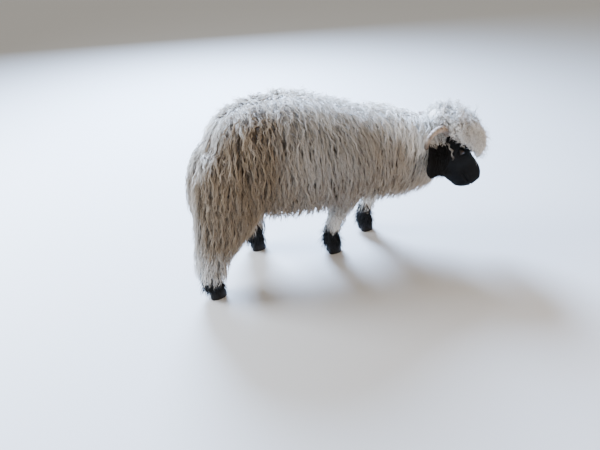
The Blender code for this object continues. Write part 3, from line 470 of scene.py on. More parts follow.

# how brown the wool of the side is painted from rump to neck, high up and near the belly, partly dirt and
# partly painted shade
DUST_SHADE_AT = (-0.40, -0.27, -0.20, -0.13, -0.05, 0.05, 0.16, 0.26)
DUST_SHADE_HIGH = (1.00, 1.00, 0.66, 0.48, 0.46, 0.66, 0.74, 0.46)
DUST_SHADE_LOW = (1.00, 1.00, 0.92, 0.80, 0.76, 0.80, 0.84, 0.70)


def dust_and_shade(points):
    """0 on clean white wool, 1 on wool painted brown, partly by dirt and partly as painted shade below the
    lit top.
    """
    points = np.asarray(points)
    x, z = points[..., 0], points[..., 2]
    deep = np.interp(x, *back_line.T) - z
    nape = 0.028 * ramp(x, -0.24, -0.10) + 0.080 * ramp(x, 0.06, 0.25)
    # below the top of the back the wool turns brown: partly dirt, partly painted shade where the light from
    # above stops
    shaded_dusty_side = ramp(deep - nape + 0.014 * ripple(points, 0.09), -0.016, 0.048)
    # the back of the rump is painted clean: partly clean wool, partly painted rim light
    lit_clean_rear = 0.65 * ramp(-x, 0.458, 0.502)
    high = ramp(z, 0.25, 0.42)
    dust_shade = np.interp(x, DUST_SHADE_AT, DUST_SHADE_HIGH) * high + np.interp(x, DUST_SHADE_AT, DUST_SHADE_LOW) * (1 - high)
    low_leg = 1 - ramp(z, 0.13, np.where(x > -0.08, 0.24, 0.19))
    # low on the legs the wool is cleaner; on the hind legs the back is painted whiter as painted light and
    # the front browner as painted shade
    clean_lit_leg = np.interp(x, (-0.46, -0.40, -0.10, -0.06), (0.55, 0.35, 0.30, 0.95))
    dust_shade = shaded_dusty_side * (dust_shade + 0.12 * ripple(points, 0.07)) * (1 - low_leg * clean_lit_leg)
    return np.clip(dust_shade * (1 - lit_clean_rear), 0, 1)


RUMP_FLANK_NECK = [(-0.40, -0.15, 0.3), (-0.06, -0.15, 0.3), (0.20, -0.10, 0.3)]
print("dust on rump, flank and neck", dust_and_shade(RUMP_FLANK_NECK).round(2))

# %% How far down the forelock's wool reaches
FRINGE_AT = (-0.05, -0.02, 0.00, 0.03, 0.06, 0.11, 0.15)
FRINGE = (-0.060, -0.030, -0.004, 0.014, 0.028, 0.034, 0.050)


def fringe(along):
    """The height on the side of the head, in its own frame, where the wool ends."""
    return np.interp(along, FRINGE_AT, FRINGE)


print("fringe over the eye at", fringe(EYE_PLACE[0]).round(3))

# %% Mark the skin and unwrap it
def store(mesh, name, values):
    """Keeps one number, or three, for each point of a mesh."""
    values = np.asarray(values, np.float32)
    kind, key = ("FLOAT", "value") if values.ndim == 1 else ("FLOAT_VECTOR", "vector")
    mesh.attributes.new(name, kind, "POINT").data.foreach_set(key, values.ravel())


points, _, _ = arrays_of(skin.data)
a, s, u = face_coords(points)
fine_count = len(bare_skin.data.vertices)
skin_black = blackness(points)
skin_black[:fine_count] = np.maximum(skin_black[:fine_count], points[:fine_count, 2] > 0.15)
behind_face = (a > 0.012) & (abs(s) < 0.085) & (u < fringe(a) + 0.006) & (points[:, 2] > 0.22)
store(skin.data, "black", np.maximum(skin_black, behind_face))
# the skin between the locks takes the darkish colour of the wool near its roots, as painted shade
store(skin.data, "strand", np.stack([0 * a + 0.20, 0 * a + 0.5, dust_and_shade(points)], -1))

bpy.context.view_layer.objects.active = skin
skin.select_set(True)
skin.data.uv_layers.new(name="OFBake")
bpy.ops.object.mode_set(mode="EDIT")
bpy.ops.mesh.select_all(action="SELECT")
bpy.ops.uv.smart_project(angle_limit=math.radians(66), island_margin=0.003)
bpy.ops.object.mode_set(mode="OBJECT")
skin.data.shade_smooth()
print("unwrapped", len(skin.data.uv_layers["OFBake"].uv), "corners")

# %% [markdown]
# ## Growing the coat
# Each lock walks over the top of the fleece in the direction in which the wool hangs there. It starts
# at the skin, comes up to the top within its first quarter and lies along it to its tip. A lock is a
# bundle of strands that share their waves and draw together towards the tip, which gives
# the fleece its fine, separate, wavy locks with dark gaps between them.

# %% A surface that answers questions
class Ground:
    """A surface that hair roots in or lies along."""

    def __init__(self, obj, depth=None):
        self.points, self.triangles, normals = arrays_of(obj.data)
        self.tree = BVHTree.FromPolygons(self.points.tolist(), self.triangles.tolist())
        corners = self.points[self.triangles]
        first, second, third = np.moveaxis(corners, 1, 0)
        self.areas = np.linalg.norm(np.cross(second - first, third - first), axis=1) / 2
        self.face_normals = unit(normals[self.triangles].mean(1))
        self.depths = np.zeros(len(self.triangles)) if depth is None else depth(corners.mean(1))

    def at(self, spots):
        """The nearest points of the surface, its normals and the depth of coat there, and the faces."""
        found = [self.tree.find_nearest(spot) for spot in spots.tolist()]
        places = np.array([f[0] for f in found])
        faces = np.array([f[2] for f in found])
        return places, self.face_normals[faces], self.depths[faces], faces

    def far(self, spots):
        return np.array([self.tree.find_nearest(spot)[3] for spot in spots.tolist()])


def scattered(ground, spacing, keep=None):
    """Places spread evenly over a surface, with the wanted room round each."""
    chance = ground.areas / ground.areas.sum()
    count = int(5 * ground.areas.sum() / spacing ** 2)
    faces = dice.choice(len(chance), count, p=chance)
    r1, r2 = np.sqrt(dice.random(count))[:, None], dice.random(count)[:, None]
    first, second, third = np.moveaxis(ground.points[ground.triangles[faces]], 1, 0)
    spots = first * (1 - r1) + second * (r1 * (1 - r2)) + third * (r1 * r2)
    if keep is not None:
        spots = spots[keep(spots)]
    cell, kept = {}, []
    for i, (cx, cy, cz) in enumerate(np.floor(spots / spacing).astype(int).tolist()):
        near = (
            j for dx in (-1, 0, 1) for dy in (-1, 0, 1) for dz in (-1, 0, 1)
            for j in cell.get((cx + dx, cy + dy, cz + dz), ())
        )
        x, y, z = spots[i]
        gaps = ((spots[j][0] - x) ** 2 + (spots[j][1] - y) ** 2 + (spots[j][2] - z) ** 2 for j in near)
        if all(gap > spacing ** 2 for gap in gaps):
            cell.setdefault((cx, cy, cz), []).append(i)
            kept.append(i)
    return spots[kept]


dice = np.random.default_rng(SEED)
only = [shape_of(name, shapes) for name, shapes in (
    ("head_only", [face_part]), ("ears_only", ears), ("feet_only", boots))]
head_ground, ear_ground, foot_ground, skin_ground, flesh_ground, fine_ground = map(
    Ground, (*only, skin, flesh, bare_skin))
fleece_ground = Ground(fleece_top, flesh_ground.far)
print("fleece is", round(float(fleece_ground.depths.max()) * 1000), "mm deep at most")

# %% Walking a lock over the ground
Wool = namedtuple("Wool", "spacing strands spread width wave waves lift sink steps")


def walked(ground, seeds, lengths, lie, shares, steps, cling=True):
    """Paths of locks from their seeds, one row of points for each, with the way up at each point."""
    whim = dice.normal(0, 1, (len(seeds), 3))
    spots, up, depth, _ = ground.at(seeds)
    step = (lengths / steps)[:, None]
    path, ups, way = [], [], None
    for k in range(steps + 1):
        pull = lie(spots, up, whim)
        pull = unit(pull - up * (pull * up).sum(1)[:, None])
        way = pull if way is None else unit(0.5 * way + 0.5 * pull)
        path.append(spots + up * (depth * (np.interp(k / steps, *shares) - 1))[:, None])
        ups.append(up)
        spots, up, depth, _ = ground.at(spots + way * step)
        if cling:
            hold = ramp(up[:, 2], -0.85, -0.35)[:, None]
            spots = spots * hold + (1 - hold) * (path[-1] + unit(0.6 * way + 0.4 * DOWN) * step)
    return np.stack(path, 1), np.stack(ups, 1)


# %% Splitting a lock into strands
def frame_along(path, ups):
    """Directions across a path and over it."""
    way = unit(np.gradient(path, axis=1))
    across = unit(np.cross(way, ups))
    return across, np.cross(across, way)


def stranded(path, ups, wool, sizes=1.0, stand=1.0):
    """Splits each lock into wavy strands: points, directions across and up there, and half widths."""
    locks, rings = path.shape[:2]
    n, t = wool.strands, np.linspace(0, 1, rings)
    across, over = frame_along(path, ups)
    size = (np.ones(locks) * sizes)[:, None, None]
    angle = dice.uniform(0, 2 * math.pi, (locks, n, 1))
    radius = wool.spread * size * np.sqrt(dice.random((locks, n, 1))) * (1 - 0.72 * t ** 0.8)
    phase = dice.uniform(0, 2 * math.pi, (locks, 1, 1)) + dice.normal(0, 0.8, (locks, n, 1))
    speed = wool.waves * dice.uniform(0.75, 1.3, (locks, 1, 1))
    swing = wool.wave * size * np.minimum(1, 3 * t) * dice.uniform(0.4, 1.35, (locks, n, 1))
    turn = phase + 2 * math.pi * speed * t
    # three strands in ten leave their lock, stand off it and are thinner
    leaves = dice.random((locks, n, 1)) < 0.3
    stray = np.where(leaves, dice.uniform(0.3, 1.0, (locks, n, 1)), 0.12)
    away = wool.lift * size * (np.ones(locks) * stand)[:, None, None] * stray * t ** 2
    aside = radius * np.cos(angle) + swing * np.sin(turn) + away * dice.uniform(-0.9, 0.9, (locks, n, 1))
    upward = 0.55 * radius * np.sin(angle) + 0.6 * swing * np.cos(turn) + away
    upward = upward - wool.sink * dice.uniform(-0.2, 1, (locks, 1, 1)) * np.minimum(1, 3 * t)
    centre = path[:, None] + across[:, None] * aside[..., None] + over[:, None] * upward[..., None]
    across, over = (np.broadcast_to(v[:, None], centre.shape) for v in (across, over))
    return centre, across, over, wool.width * np.where(leaves, 0.65, 1.0)


def toned(locks, strands, middle):
    """How light each strand is: a tone for its lock and some of its own."""
    return np.clip(dice.normal(middle, 0.14, (locks, 1)) + dice.normal(0, 0.16, (locks, strands)), 0, 1)


# %% The place of a root on the unwrap
def uv_at(spots):
    """Where the nearest points of the skin lie on its unwrap."""
    places, _, _, faces = skin_ground.at(spots)
    loops = listed(skin.data.loop_triangles, "loops", 3, np.int32)[faces]
    corners = listed(skin.data.uv_layers["OFBake"].uv, "vector", 2)[loops]
    tri = skin_ground.points[skin_ground.triangles[faces]]
    a, b, c = tri[:, 1] - tri[:, 0], tri[:, 2] - tri[:, 0], places - tri[:, 0]
    aa, ab, bb, ca, cb = ((p * q).sum(1) for p, q in ((a, a), (a, b), (b, b), (c, a), (c, b)))
    flatness = np.maximum(aa * bb - ab * ab, 1e-18)
    v, w = (bb * ca - ab * cb) / flatness, (aa * cb - ab * ca) / flatness
    return corners[:, 0] * (1 - v - w)[:, None] + corners[:, 1] * v[:, None] + corners[:, 2] * w[:, None]


# %% Strands as solid mesh
PATCH = 0.003  # side of a strand's patch on the unwrap


def woven(name, centre, across, over, width, tones, spots_uv, black, dust_shades):
    """Builds strands as closed three-sided tubes that end in a point, all in one mesh."""
    locks, n, rings, _ = centre.shape
    count = locks * n
    t = np.linspace(0, 1, rings)
    girth = width * (0.55 + 0.45 * np.sin(math.pi * np.minimum(1, 0.25 + 0.75 * t))) * (1 - 0.75 * t ** 3)
    girth = np.broadcast_to(girth, (locks, n, rings))[..., None]
    left = centre + across * girth - over * girth * 0.35
    top = centre + over * girth * 0.7
    right = centre - across * girth - over * girth * 0.35
    tube = np.stack([left, top, right], 3)[:, :, :-1].reshape(count, -1, 3)
    points = np.concatenate([tube, centre[:, :, -1].reshape(count, 1, 3)], 1)
    grid = np.arange(tube.shape[1]).reshape(-1, 3)
    walls = quads(grid[:, (0, 1, 2, 0)])[:, (0, 3, 2, 1)]
    ends = np.array([*((a, grid.size, b) for a, b in pairs_of(grid[-1])), (0, 1, 2)])
    start = np.arange(count)[:, None, None] * (grid.size + 1)
    walls, ends = (walls + start).reshape(-1, 4), (ends + start).reshape(-1, 3)
    corners = np.concatenate([walls.ravel(), ends.ravel()])
    mesh = bpy.data.meshes.new(name)
    mesh.vertices.add(count * points.shape[1])
    mesh.vertices.foreach_set("co", points.ravel())
    mesh.loops.add(len(corners))
    mesh.loops.foreach_set("vertex_index", corners)
    mesh.polygons.add(len(walls) + len(ends))
    mesh.polygons.foreach_set("loop_start", np.concatenate([
        np.arange(len(walls)) * 4, walls.size + np.arange(len(ends)) * 3]))
    mesh.update(calc_edges=True)
    mesh.shade_smooth()
    ring = np.append(np.repeat(np.arange(rings - 1), 3), rings - 1)
    along, sideways = t[ring], np.append(np.tile((0, 0.5, 1), rings - 1), 0.5)
    ones = np.ones((count, len(ring)))
    dust_shade = np.repeat(dust_shades[:, ring], n, 0)
    store(mesh, "strand", np.stack([ones * along, ones * tones.reshape(count, 1), dust_shade], -1).reshape(-1, 3))
    store(mesh, "black", (ones * np.repeat(black, n)[:, None]).ravel())
    patch = np.repeat(spots_uv, n, 0)[:, None] + PATCH * (np.stack([ones * sideways, ones * along], -1) - 0.5)
    patch = np.clip(patch, 0.0005, 0.9995).reshape(-1, 2)[corners].astype(np.float32)
    mesh.uv_layers.new(name="OFBake").uv.foreach_set("vector", patch.ravel())
    triangle_count = 2 * len(walls) + len(ends)
    print(name, count, "strands", triangle_count, "triangles")
    assert triangle_count < 200_000, name
    return placed(name, mesh)


def woven_by(zones, *grown):
    """Weaves the locks of each zone into a piece of its own."""
    return [woven(zone, *(values[zones == zone] for values in grown)) for zone in sorted(set(zones))]


# %% The horn's path
HORN_FOOT, HORN_OUT, HORN_LIFT = -0.037, 0.038, -0.019
HORN_START, HORN_TURN = math.radians(20), math.radians(176)
HORN_CURL, HORN_GIRTH = 0.047, 0.0150
HORN_ROOM = 0.002
OUTER_ROOM = {1: 0.003, -1: 0.004}  # what the wool leaves free over the outer side of the left and right horn


def horn_path(sign, count=90):
    t = np.linspace(0, 1, count)
    angle = HORN_START + HORN_TURN * t
    curl = HORN_CURL * (1 - 0.16 * t)
    forth, up = HORN_FOOT + curl * np.cos(angle), HORN_LIFT + curl * np.sin(angle)
    out = HORN_OUT + 0.056 * np.sin(0.6 * math.pi * t)
    up = up - 0.010 * t * (sign > 0)
    path = POLL + np.outer(forth, LEVEL_AHEAD) + np.outer(sign * out, FACE_LEFT) + np.outer(up, UP)
    return path, HORN_GIRTH * (1 - 0.55 * t) * np.sqrt(np.clip((1.012 - t) / 0.045, 0, 1)), t


print("horn", round(float(np.linalg.norm(np.diff(horn_path(1)[0], axis=0), axis=1).sum()) * 1000), "mm long")

# %% Keep the wool off the horns
def off_the_horns(path):
    """Whether each point of each lock is neither in a horn nor over its outer side."""
    free = np.ones(path.shape[:2], bool)
    for sign in (1, -1):
        spots, girth, _ = horn_path(sign, 30)
        gap = np.linalg.norm(path[:, :, None] - spots, axis=-1) - girth
        nearest = gap.argmin(-1)
        outside = sign * (face_coords(path)[1] - face_coords(spots)[1][nearest]) > -0.003
        gap = gap.min(-1)
        free &= ~(((gap < HORN_ROOM) | (outside & (gap < OUTER_ROOM[sign]))) & (nearest > 2))
    return free


def cut_short(path, ups, keep):
    """Locks that each end where they first leave the places to keep, and whether enough of each is left."""
    locks, rings = keep.shape
    first = np.where(keep.all(1), rings - 1, keep.argmin(1) - 1)
    at = np.outer(np.maximum(first, 0), np.linspace(0, 1, rings))
    low = np.minimum(at.astype(int), rings - 2)
    part = (at - low)[..., None]
    row = np.arange(locks)[:, None]
    return *(v[row, low] * (1 - part) + v[row, low + 1] * part for v in (path, ups)), first > 1


# %% [markdown]
# ## The fleece
# On the trunk the locks hang about a hand long. Behind the shoulder they lean forward, and on the
# neck they lean back. On top of the back they part to both sides.
# One ridge line would look combed, so the parting wanders.

# %% The way the wool lies
LEAN_AT = (-0.50, -0.35, -0.20, -0.05, 0.05, 0.12, 0.20, 0.30, 0.42)
LEAN = (-0.10, -0.10, 0.02, 0.20, 0.16, 0.0, -0.22, -0.26, -0.05)


def ridge_y(x):
    """The middle of the back, which turns with the neck."""
    return np.interp(x, (0.10, 0.35), (0.008, -0.04))


def fleece_lie(points, ups, whim):
    lean = np.interp(points[:, 0], LEAN_AT, LEAN) + 0.16 * ripple(points, 0.09)
    side = np.tanh((points[:, 1] - ridge_y(points[:, 0]) + 0.012 * ripple(points, 0.05)) / 0.03)
    crest = np.maximum(0, ups[:, 2])
    fall = np.stack([lean, 0.9 * side * crest, -np.ones(len(points))], -1)
    return fall + whim * (0.13 + 0.45 * crest ** 3)[:, None]


def fleece_length(points):
    """Long on the trunk, woolly on the hind legs and short on the forelegs."""
    x, z = points[:, 0], points[:, 2]
    hind = np.interp(z, (0.07, 0.12, 0.20, 0.30), (0.042, 0.052, 0.065, 0.090))
    fore = np.interp(z, (0.07, 0.12, 0.17, 0.20, 0.24, 0.30), (0.018, 0.020, 0.022, 0.030, 0.062, 0.084))
    return np.where(x > -0.08, fore, hind) * (1 - 0.30 * ramp(z, 0.48, 0.54))


print("wool on the flank", fleece_length(np.array([(0, -0.1, 0.3)])), "m long")

# %% Grow the fleece
FLEECE = Wool(0.0090, 4, 0.0044, 0.00105, 0.0030, 2.3, 0.015, 0.010, 7)
# how far up through the coat a lock is, from root to tip
RISE = ((0, 0.22, 0.5, 0.85, 1), (0.40, 0.84, 0.96, 1.0, 1.02))
LOWEST_ROOT, LOWEST_TIP = 0.085, 0.045
EAR_ROOM = 0.006
NECK_FRONT = 0.22  # ahead of here the wool gives way to the ears, the face and the horns


def clear_of_head(path):
    """Whether a lock keeps off the ears and off the face in front of them."""
    close = path[:, 2:]
    clear = np.ones(len(path), bool)
    for i in np.flatnonzero(close[..., 0].max(1) > NECK_FRONT):
        on_skin = fine_ground.at(close[i])[0]
        along, aside, _ = face_coords(on_skin)
        shown = (abs(aside) > 0.066) | (along > 0.03)
        clear[i] = (~shown | (np.linalg.norm(on_skin - close[i], axis=1) > EAR_ROOM)).all()
    return clear


seeds = scattered(fleece_ground, FLEECE.spacing, lambda p: p[:, 2] > LOWEST_ROOT)
lengths = fleece_length(seeds) * dice.uniform(0.75, 1.2, len(seeds))
path, ups = walked(fleece_ground, seeds, lengths, fleece_lie, RISE, FLEECE.steps)
free = clear_of_head(path) & (path[:, :, 2].min(1) > LOWEST_TIP)
near = path[:, 0, 0] > NECK_FRONT
path[near], ups[near], long_enough = cut_short(path[near], ups[near], off_the_horns(path[near]))
free[near] &= long_enough
path, ups = path[free], ups[free]
roots = path[:, 0]
# low on the hind legs the locks spread over the foot like a bell
bell = 0.015 * (1 - ramp(roots[:, 2], 0.12, 0.20)) * (roots[:, 0] < -0.08)
sizes = np.interp(roots[:, 2], (0.08, 0.25), (0.7, 1.0))
stand = 1 + 0.5 * ramp(ups[:, 0, 2], 0.4, 0.9)
path = path + ups * (bell[:, None] * np.linspace(0, 1, FLEECE.steps + 1) ** 1.6)[..., None]
strands = stranded(path, ups, FLEECE, sizes, stand)
# the flank's wool is painted greyer and darker, and from the shoulder on lighter: partly its own colour,
# partly painted shade and painted light
grey = hump(path[:, :1, 0] + 0.06, 0.13) * ramp(dust_and_shade(path[:, 2]), 0.1, 0.4)[:, None]
tones = toned(len(path), FLEECE.strands, 0.56 - 0.46 * grey + 0.30 * ramp(path[:, :1, 0], 0.04, 0.20))
root_uv = uv_at(path[:, 0])
# each lock takes the dirt and painted shade of the wool a little above or below it, so the clean back ends in
# a ragged edge
dusty_shaded = dust_and_shade(path + np.outer(dice.normal(0, 0.014, len(path)), UP)[:, None])
print(len(path), "locks of fleece")

# %% Part the fleece into pieces by where it grows
def place_of(points):
    x, y, z = points.T
    side = np.where(y > ridge_y(x), "left", "right")
    zone = np.full(len(points), "fleece_flank", dtype=object)
    zone[x < -0.22] = "fleece_rump"
    zone[x > 0.06] = "fleece_shoulder"
    zone[x > 0.16] = "fleece_neck"
    low = z < 0.24
    zone[low & (x < -0.10)] = "fleece_hindleg"
    zone[low & (x > -0.06)] = "fleece_foreleg"
    return np.array([f"{a}_{b}" for a, b in zip(zone, side)])


coat = woven_by(place_of(path[:, 0]), *strands, tones, root_uv, blackness(path[:, 0]), dusty_shaded)

# %% [markdown]
# ## The forelock
# The wool of the brow is cleaner and curlier. Its locks fall forward over the face and to both
# sides of it, and some tips stand up.

# %% The way the curls lie
CURLS = Wool(0.0068, 5, 0.0047, 0.00095, 0.0054, 3.1, 0.017, 0.006, 10)
CURL_RISE = ((0, 0.2, 0.5, 0.8, 1), (0.30, 0.70, 0.86, 0.92, 0.98))
STANDING_LENGTH, HANGING_LENGTH = 0.034, 0.058
FORELOCK_SIDE = -0.1925  # as far to the right as a strand's middle line goes
forelock_tube = tube_of(rings_of(on_head(FORELOCK), 6, SIDES, FACE_LEFT, 1.0, FORELOCK_UNDER))
forelock_top = wrapped("forelock_top", [forelock_tube], FORELOCK_VOXEL, 4)
curl_ground = Ground(forelock_top, flesh_ground.far)


def curl_lie(points, ups, whim):
    a, s, _ = face_coords(points)
    ahead = np.interp(a, (-0.08, -0.02, 0.05, 0.15), (-0.7, 0.0, 0.7, 0.9))
    side = 0.9 * np.tanh((s + 0.010 * ripple(points, 0.03)) / 0.03)
    return np.outer(ahead, AHEAD) + np.outer(side, FACE_LEFT) + 0.35 * DOWN + 0.80 * whim


def above_fringe(points, room):
    a, _, u = face_coords(points)
    return u > fringe(a) + room


print("forelock", len(forelock_top.data.polygons), "faces to lie on")

# %% Grow the forelock
seeds = scattered(curl_ground, CURLS.spacing, lambda p: above_fringe(p, 0.008))
on_crest = ramp(curl_ground.at(seeds)[1][:, 2], 0.55, 0.85)
tuft = dice.random(len(seeds)) < 0.20 * on_crest
lengths = np.where(tuft, STANDING_LENGTH, HANGING_LENGTH) * dice.uniform(0.6, 1.25, len(seeds))
path, ups = walked(curl_ground, seeds, lengths, curl_lie, CURL_RISE, CURLS.steps, cling=False)
t = np.linspace(0, 1, CURLS.steps + 1)
raised = np.outer(tuft * dice.uniform(0.012, 0.024, len(tuft)), t ** 1.2) - 0.017 * on_crest[:, None]
path = path + ups * raised[..., None]
ragged = dice.normal(0, 0.007, (len(seeds), 1))
wanted = above_fringe(path, ragged) & off_the_horns(path)
wanted[:, 0] |= wanted[:, 1]  # a root may lie a little too low
path, ups, free = cut_short(path, ups, wanted)
path, ups, tuft = path[free], ups[free], tuft[free]
a, s, _ = face_coords(seeds[free])
strands = stranded(path, ups, CURLS, 1.0, 1 + 0.9 * ramp(a, 0.03, 0.10))
strands[0][..., 1] = np.maximum(strands[0][..., 1], FORELOCK_SIDE)
tones = np.clip(1.9 * toned(len(path), CURLS.strands, 0.6) - 0.55, 0, 1)
print(len(path), "curls of the forelock,", tuft.sum(), "of them standing")
zones = np.where(a < 0.02, "crown_wool_", "forelock_wool_").astype(object) + np.where(s > 0, "left", "right")
coat += woven_by(zones, *strands, tones, uv_at(path[:, 0]), np.zeros(len(a)), 0.08 + 0.25 * dust_and_shade(path))

# %% Wisps of wool under the horns
WISPS = Wool(0.0062, 3, 0.0036, 0.00075, 0.0044, 2.4, 0.008, 0.0, 9)


def by_the_horn(points):
    away = points - POLL
    off = np.hypot(away @ LEVEL_AHEAD - HORN_FOOT, away @ UP - HORN_LIFT)
    return (off < HORN_CURL - 0.002) & (abs(face_coords(points)[1]) > 0.024) & (away @ UP > -0.040)


both = [(ground, scattered(ground, WISPS.spacing, by_the_horn)) for ground in (head_ground, flesh_ground)]
seeds = np.vstack([spots for _, spots in both])
ups = np.vstack([ground.at(spots)[1] for ground, spots in both])
lengths = dice.uniform(0.014, 0.030, len(seeds)) * np.where(dice.random(len(seeds)) < 0.25, 1.8, 1.0)
t = np.linspace(0, 1, WISPS.steps + 1)[None, :, None]
way = unit(ups + 0.5 * dice.normal(0, 1, ups.shape))
hang = way[:, None] * 0.62 * np.sin(0.5 * math.pi * t) + (DOWN + 0.15 * AHEAD) * 0.85 * t ** 1.7
path = seeds[:, None] + lengths[:, None, None] * hang
strands = stranded(path, np.repeat(ups[:, None], path.shape[1], 1), WISPS)
tones, dusty_shaded = toned(len(seeds), WISPS.strands, 0.6), 0.18 + 0 * path[..., 0]
coat.append(woven("temple_wool", *strands, tones, uv_at(seeds), np.zeros(len(seeds)), dusty_shaded))

# %% [markdown]
# ## Short black hair
# The hair of the face, ears and feet is short and black. On the face it lies flat, so most of it
# is bump in the finish of the skin, with fine tufts over it. At the throat and over the hooves it
# is longer and hangs loose.

# %% The way the short hair lies
Fur = namedtuple("Fur", "spacing length width lift loose steps")
FACE_FUR = Fur(0.0033, 0.0085, 0.00045, 0.0010, 0.0, 3)
EAR_FUR = Fur(0.0034, 0.0130, 0.00050, 0.0024, 0.0, 3)
FOOT_FUR = Fur(0.0034, 0.0290, 0.00080, 0.0145, 0.45, 4)
THROAT_FUR = Fur(0.0027, 0.0250, 0.00090, 0.0050, 1.0, 5)
FLOOR_ROOM = 0.010  # what hair leaves free above the floor


def face_lie(points, ups, whim):
    """On the face the hair runs back from the nose; below the eyes it turns down."""
    _, s, u = face_coords(points)
    aside = 0.35 * np.outer(np.sign(s) * hump(u - 0.02, 0.03), FACE_LEFT)
    return -AHEAD + aside - 0.5 * np.outer(ramp(-u, -0.01, 0.04), BROW)


def on_bare_face(points):
    a, s, u = face_coords(points)
    eye = np.sqrt((a - EYE_PLACE[0]) ** 2 + (u - EYE_PLACE[2]) ** 2)
    nose = (a > 0.228) & (abs(s) < 0.024) & (u > -0.012)
    mouth = (abs(np.arctan2(u + 0.006, abs(s)) - MOUTH_TURN) < 0.09) & (a > MOUTH_CORNER)
    return (a > 0.02) & ~((eye < 0.0135) & (abs(s) > 0.02)) & ~nose & ~mouth


def on_throat(points):
    a, _, u = face_coords(points)
    return (a > 0.035) & (a < 0.150) & (u < -0.050)


def over_hoof(points):
    return points[:, 2] > 0.036


def hanging(lean, whimsy):
    """A lie straight down, with that lean and share of whim."""
    return lambda points, ups, whim: DOWN + lean + whimsy * whim


print("hair of the face", FACE_FUR.length * 1000, "mm, of the throat", THROAT_FUR.length * 1000, "mm")

# %% Grow the short hair
def furred(name, ground, fur, lie, keep, tone):
    """Short hair over a surface, each a strand of its own."""
    seeds = scattered(ground, fur.spacing, keep)
    fade = 1 - 0.75 * ramp(face_coords(seeds)[0], 0.105, 0.150) * (fur is THROAT_FUR)
    lengths = np.minimum(fur.length * fade * dice.uniform(0.7, 1.25, len(seeds)), seeds[:, 2] - FLOOR_ROOM)
    path, ups = walked(ground, seeds, lengths, lie, ((0, 1), (1, 1)), fur.steps, cling=False)
    t = np.linspace(0, 1, fur.steps + 1)
    loosely = DOWN + 0.25 * dice.normal(0, 1, (len(seeds), 1, 3))
    hang = seeds[:, None] + (lengths[:, None] * t)[..., None] * loosely
    path = path * (1 - fur.loose * t[:, None]) + hang * fur.loose * t[:, None]
    rise = np.interp(t, (0, 0.4, 1), (-0.0006, 0.0004, 0.0008))[:, None]
    off = np.minimum(dice.gamma(1.5, 0.6, (len(seeds), 1, 1)), 1.6)
    path = path + ups * (rise + fur.lift * t[:, None] ** 1.5 * off)
    path[..., 2] = np.maximum(path[..., 2], 0.5 * FLOOR_ROOM)
    across, over = (v[:, None] for v in frame_along(path, ups))
    tones = np.clip(dice.normal(tone, 0.15, (len(seeds), 1)), 0, 1)
    ones = np.ones(len(seeds))
    girth = fur.width * ones[:, None, None]
    return woven(name, path[:, None], across, over, girth, tones, uv_at(path[:, 0]), ones, 0 * path[..., 0])


coat += [furred(*given) for given in (
    ("face_hair", head_ground, FACE_FUR, face_lie, on_bare_face, 0.5),
    ("ear_hair", ear_ground, EAR_FUR, hanging(np.array((-0.25, 0, 0)), 0.2), None, 0.5),
    ("foot_hair", foot_ground, FOOT_FUR, hanging(np.array((0.15, 0, 0)), 0.3), over_hoof, 0.5),
    ("throat_hair", head_ground, THROAT_FUR, hanging(-0.15 * AHEAD, 0.25), on_throat, 0.45),
)]
for helper in (flesh, fleece_top, bare_skin, forelock_top, *only):
    bpy.data.objects.remove(helper)

# %% [markdown]
# ## Finishes
# Every finish here starts from what the real thing is: wool, black hair, horn, hoof and a wet eye.
# Colours are written as sRGB hex and turned to linear by one function.

# %% Colours
def linear(code):
    """An sRGB hex colour as linear RGBA."""
    values = [int(code[i:i + 2], 16) / 255 for i in (1, 3, 5)]
    return (*[v / 12.92 if v <= 0.04045 else ((v + 0.055) / 1.055) ** 2.4 for v in values], 1.0)


print("clean wool", [round(v, 3) for v in linear("#f5f4f0")])

# %% Adding nodes
def add(tree, kind, inputs=(), **settings):
    """Adds a node, sets it and fills its inputs with values, with outputs or with nodes' first outputs."""
    node = tree.nodes.new(kind if "Node" in kind else "ShaderNode" + kind)
    for key, value in settings.items():
        setattr(node, key, value)
    for key, value in dict(inputs).items():
        if isinstance(value, bpy.types.Node):
            value = next(output for output in value.outputs if output.enabled)
        if isinstance(value, bpy.types.NodeSocket):
            tree.links.new(value, node.inputs[key])
        else:
            node.inputs[key].default_value = value
    return node


def new_finish(name):
    material = bpy.data.materials.new(name)
    material.use_nodes = True
    material.node_tree.nodes.clear()
    return material, material.node_tree


def surface(tree, colour, roughness, inputs=()):
    inputs = {"Base Color": colour, "Roughness": roughness, **dict(inputs)}
    add(tree, "OutputMaterial", {"Surface": add(tree, "BsdfPrincipled", inputs)})


def noise(tree, place, scale, detail):
    return add(tree, "TexNoise", {"Vector": place, "Scale": scale, "Detail": detail})


def bumpy(tree, height, strength, distance):
    return add(tree, "Bump", {"Height": height, "Strength": strength, "Distance": distance})


def mixed(tree, factor, first, second):
    return add(tree, "Mix", {0: factor, 6: first, 7: second}, data_type="RGBA")


def ranged(tree, value, low, high, first=0.0, last=1.0):
    return add(tree, "MapRange", {0: value, 1: low, 2: high, 3: first, 4: last})


def scaled(tree, vector, by):
    return add(tree, "VectorMath", {0: vector, "Scale": by}, operation="SCALE")


def graded(tree, factor, first, second, low=0.0, high=1.0):
    """A colour ramp between two colours."""
    node = add(tree, "ValToRGB", {0: factor})
    for stop, colour, place in zip(node.color_ramp.elements, (first, second), (low, high)):
        stop.color, stop.position = linear(colour), place
    return node


def object_place(tree):
    return add(tree, "TexCoord").outputs["Object"]


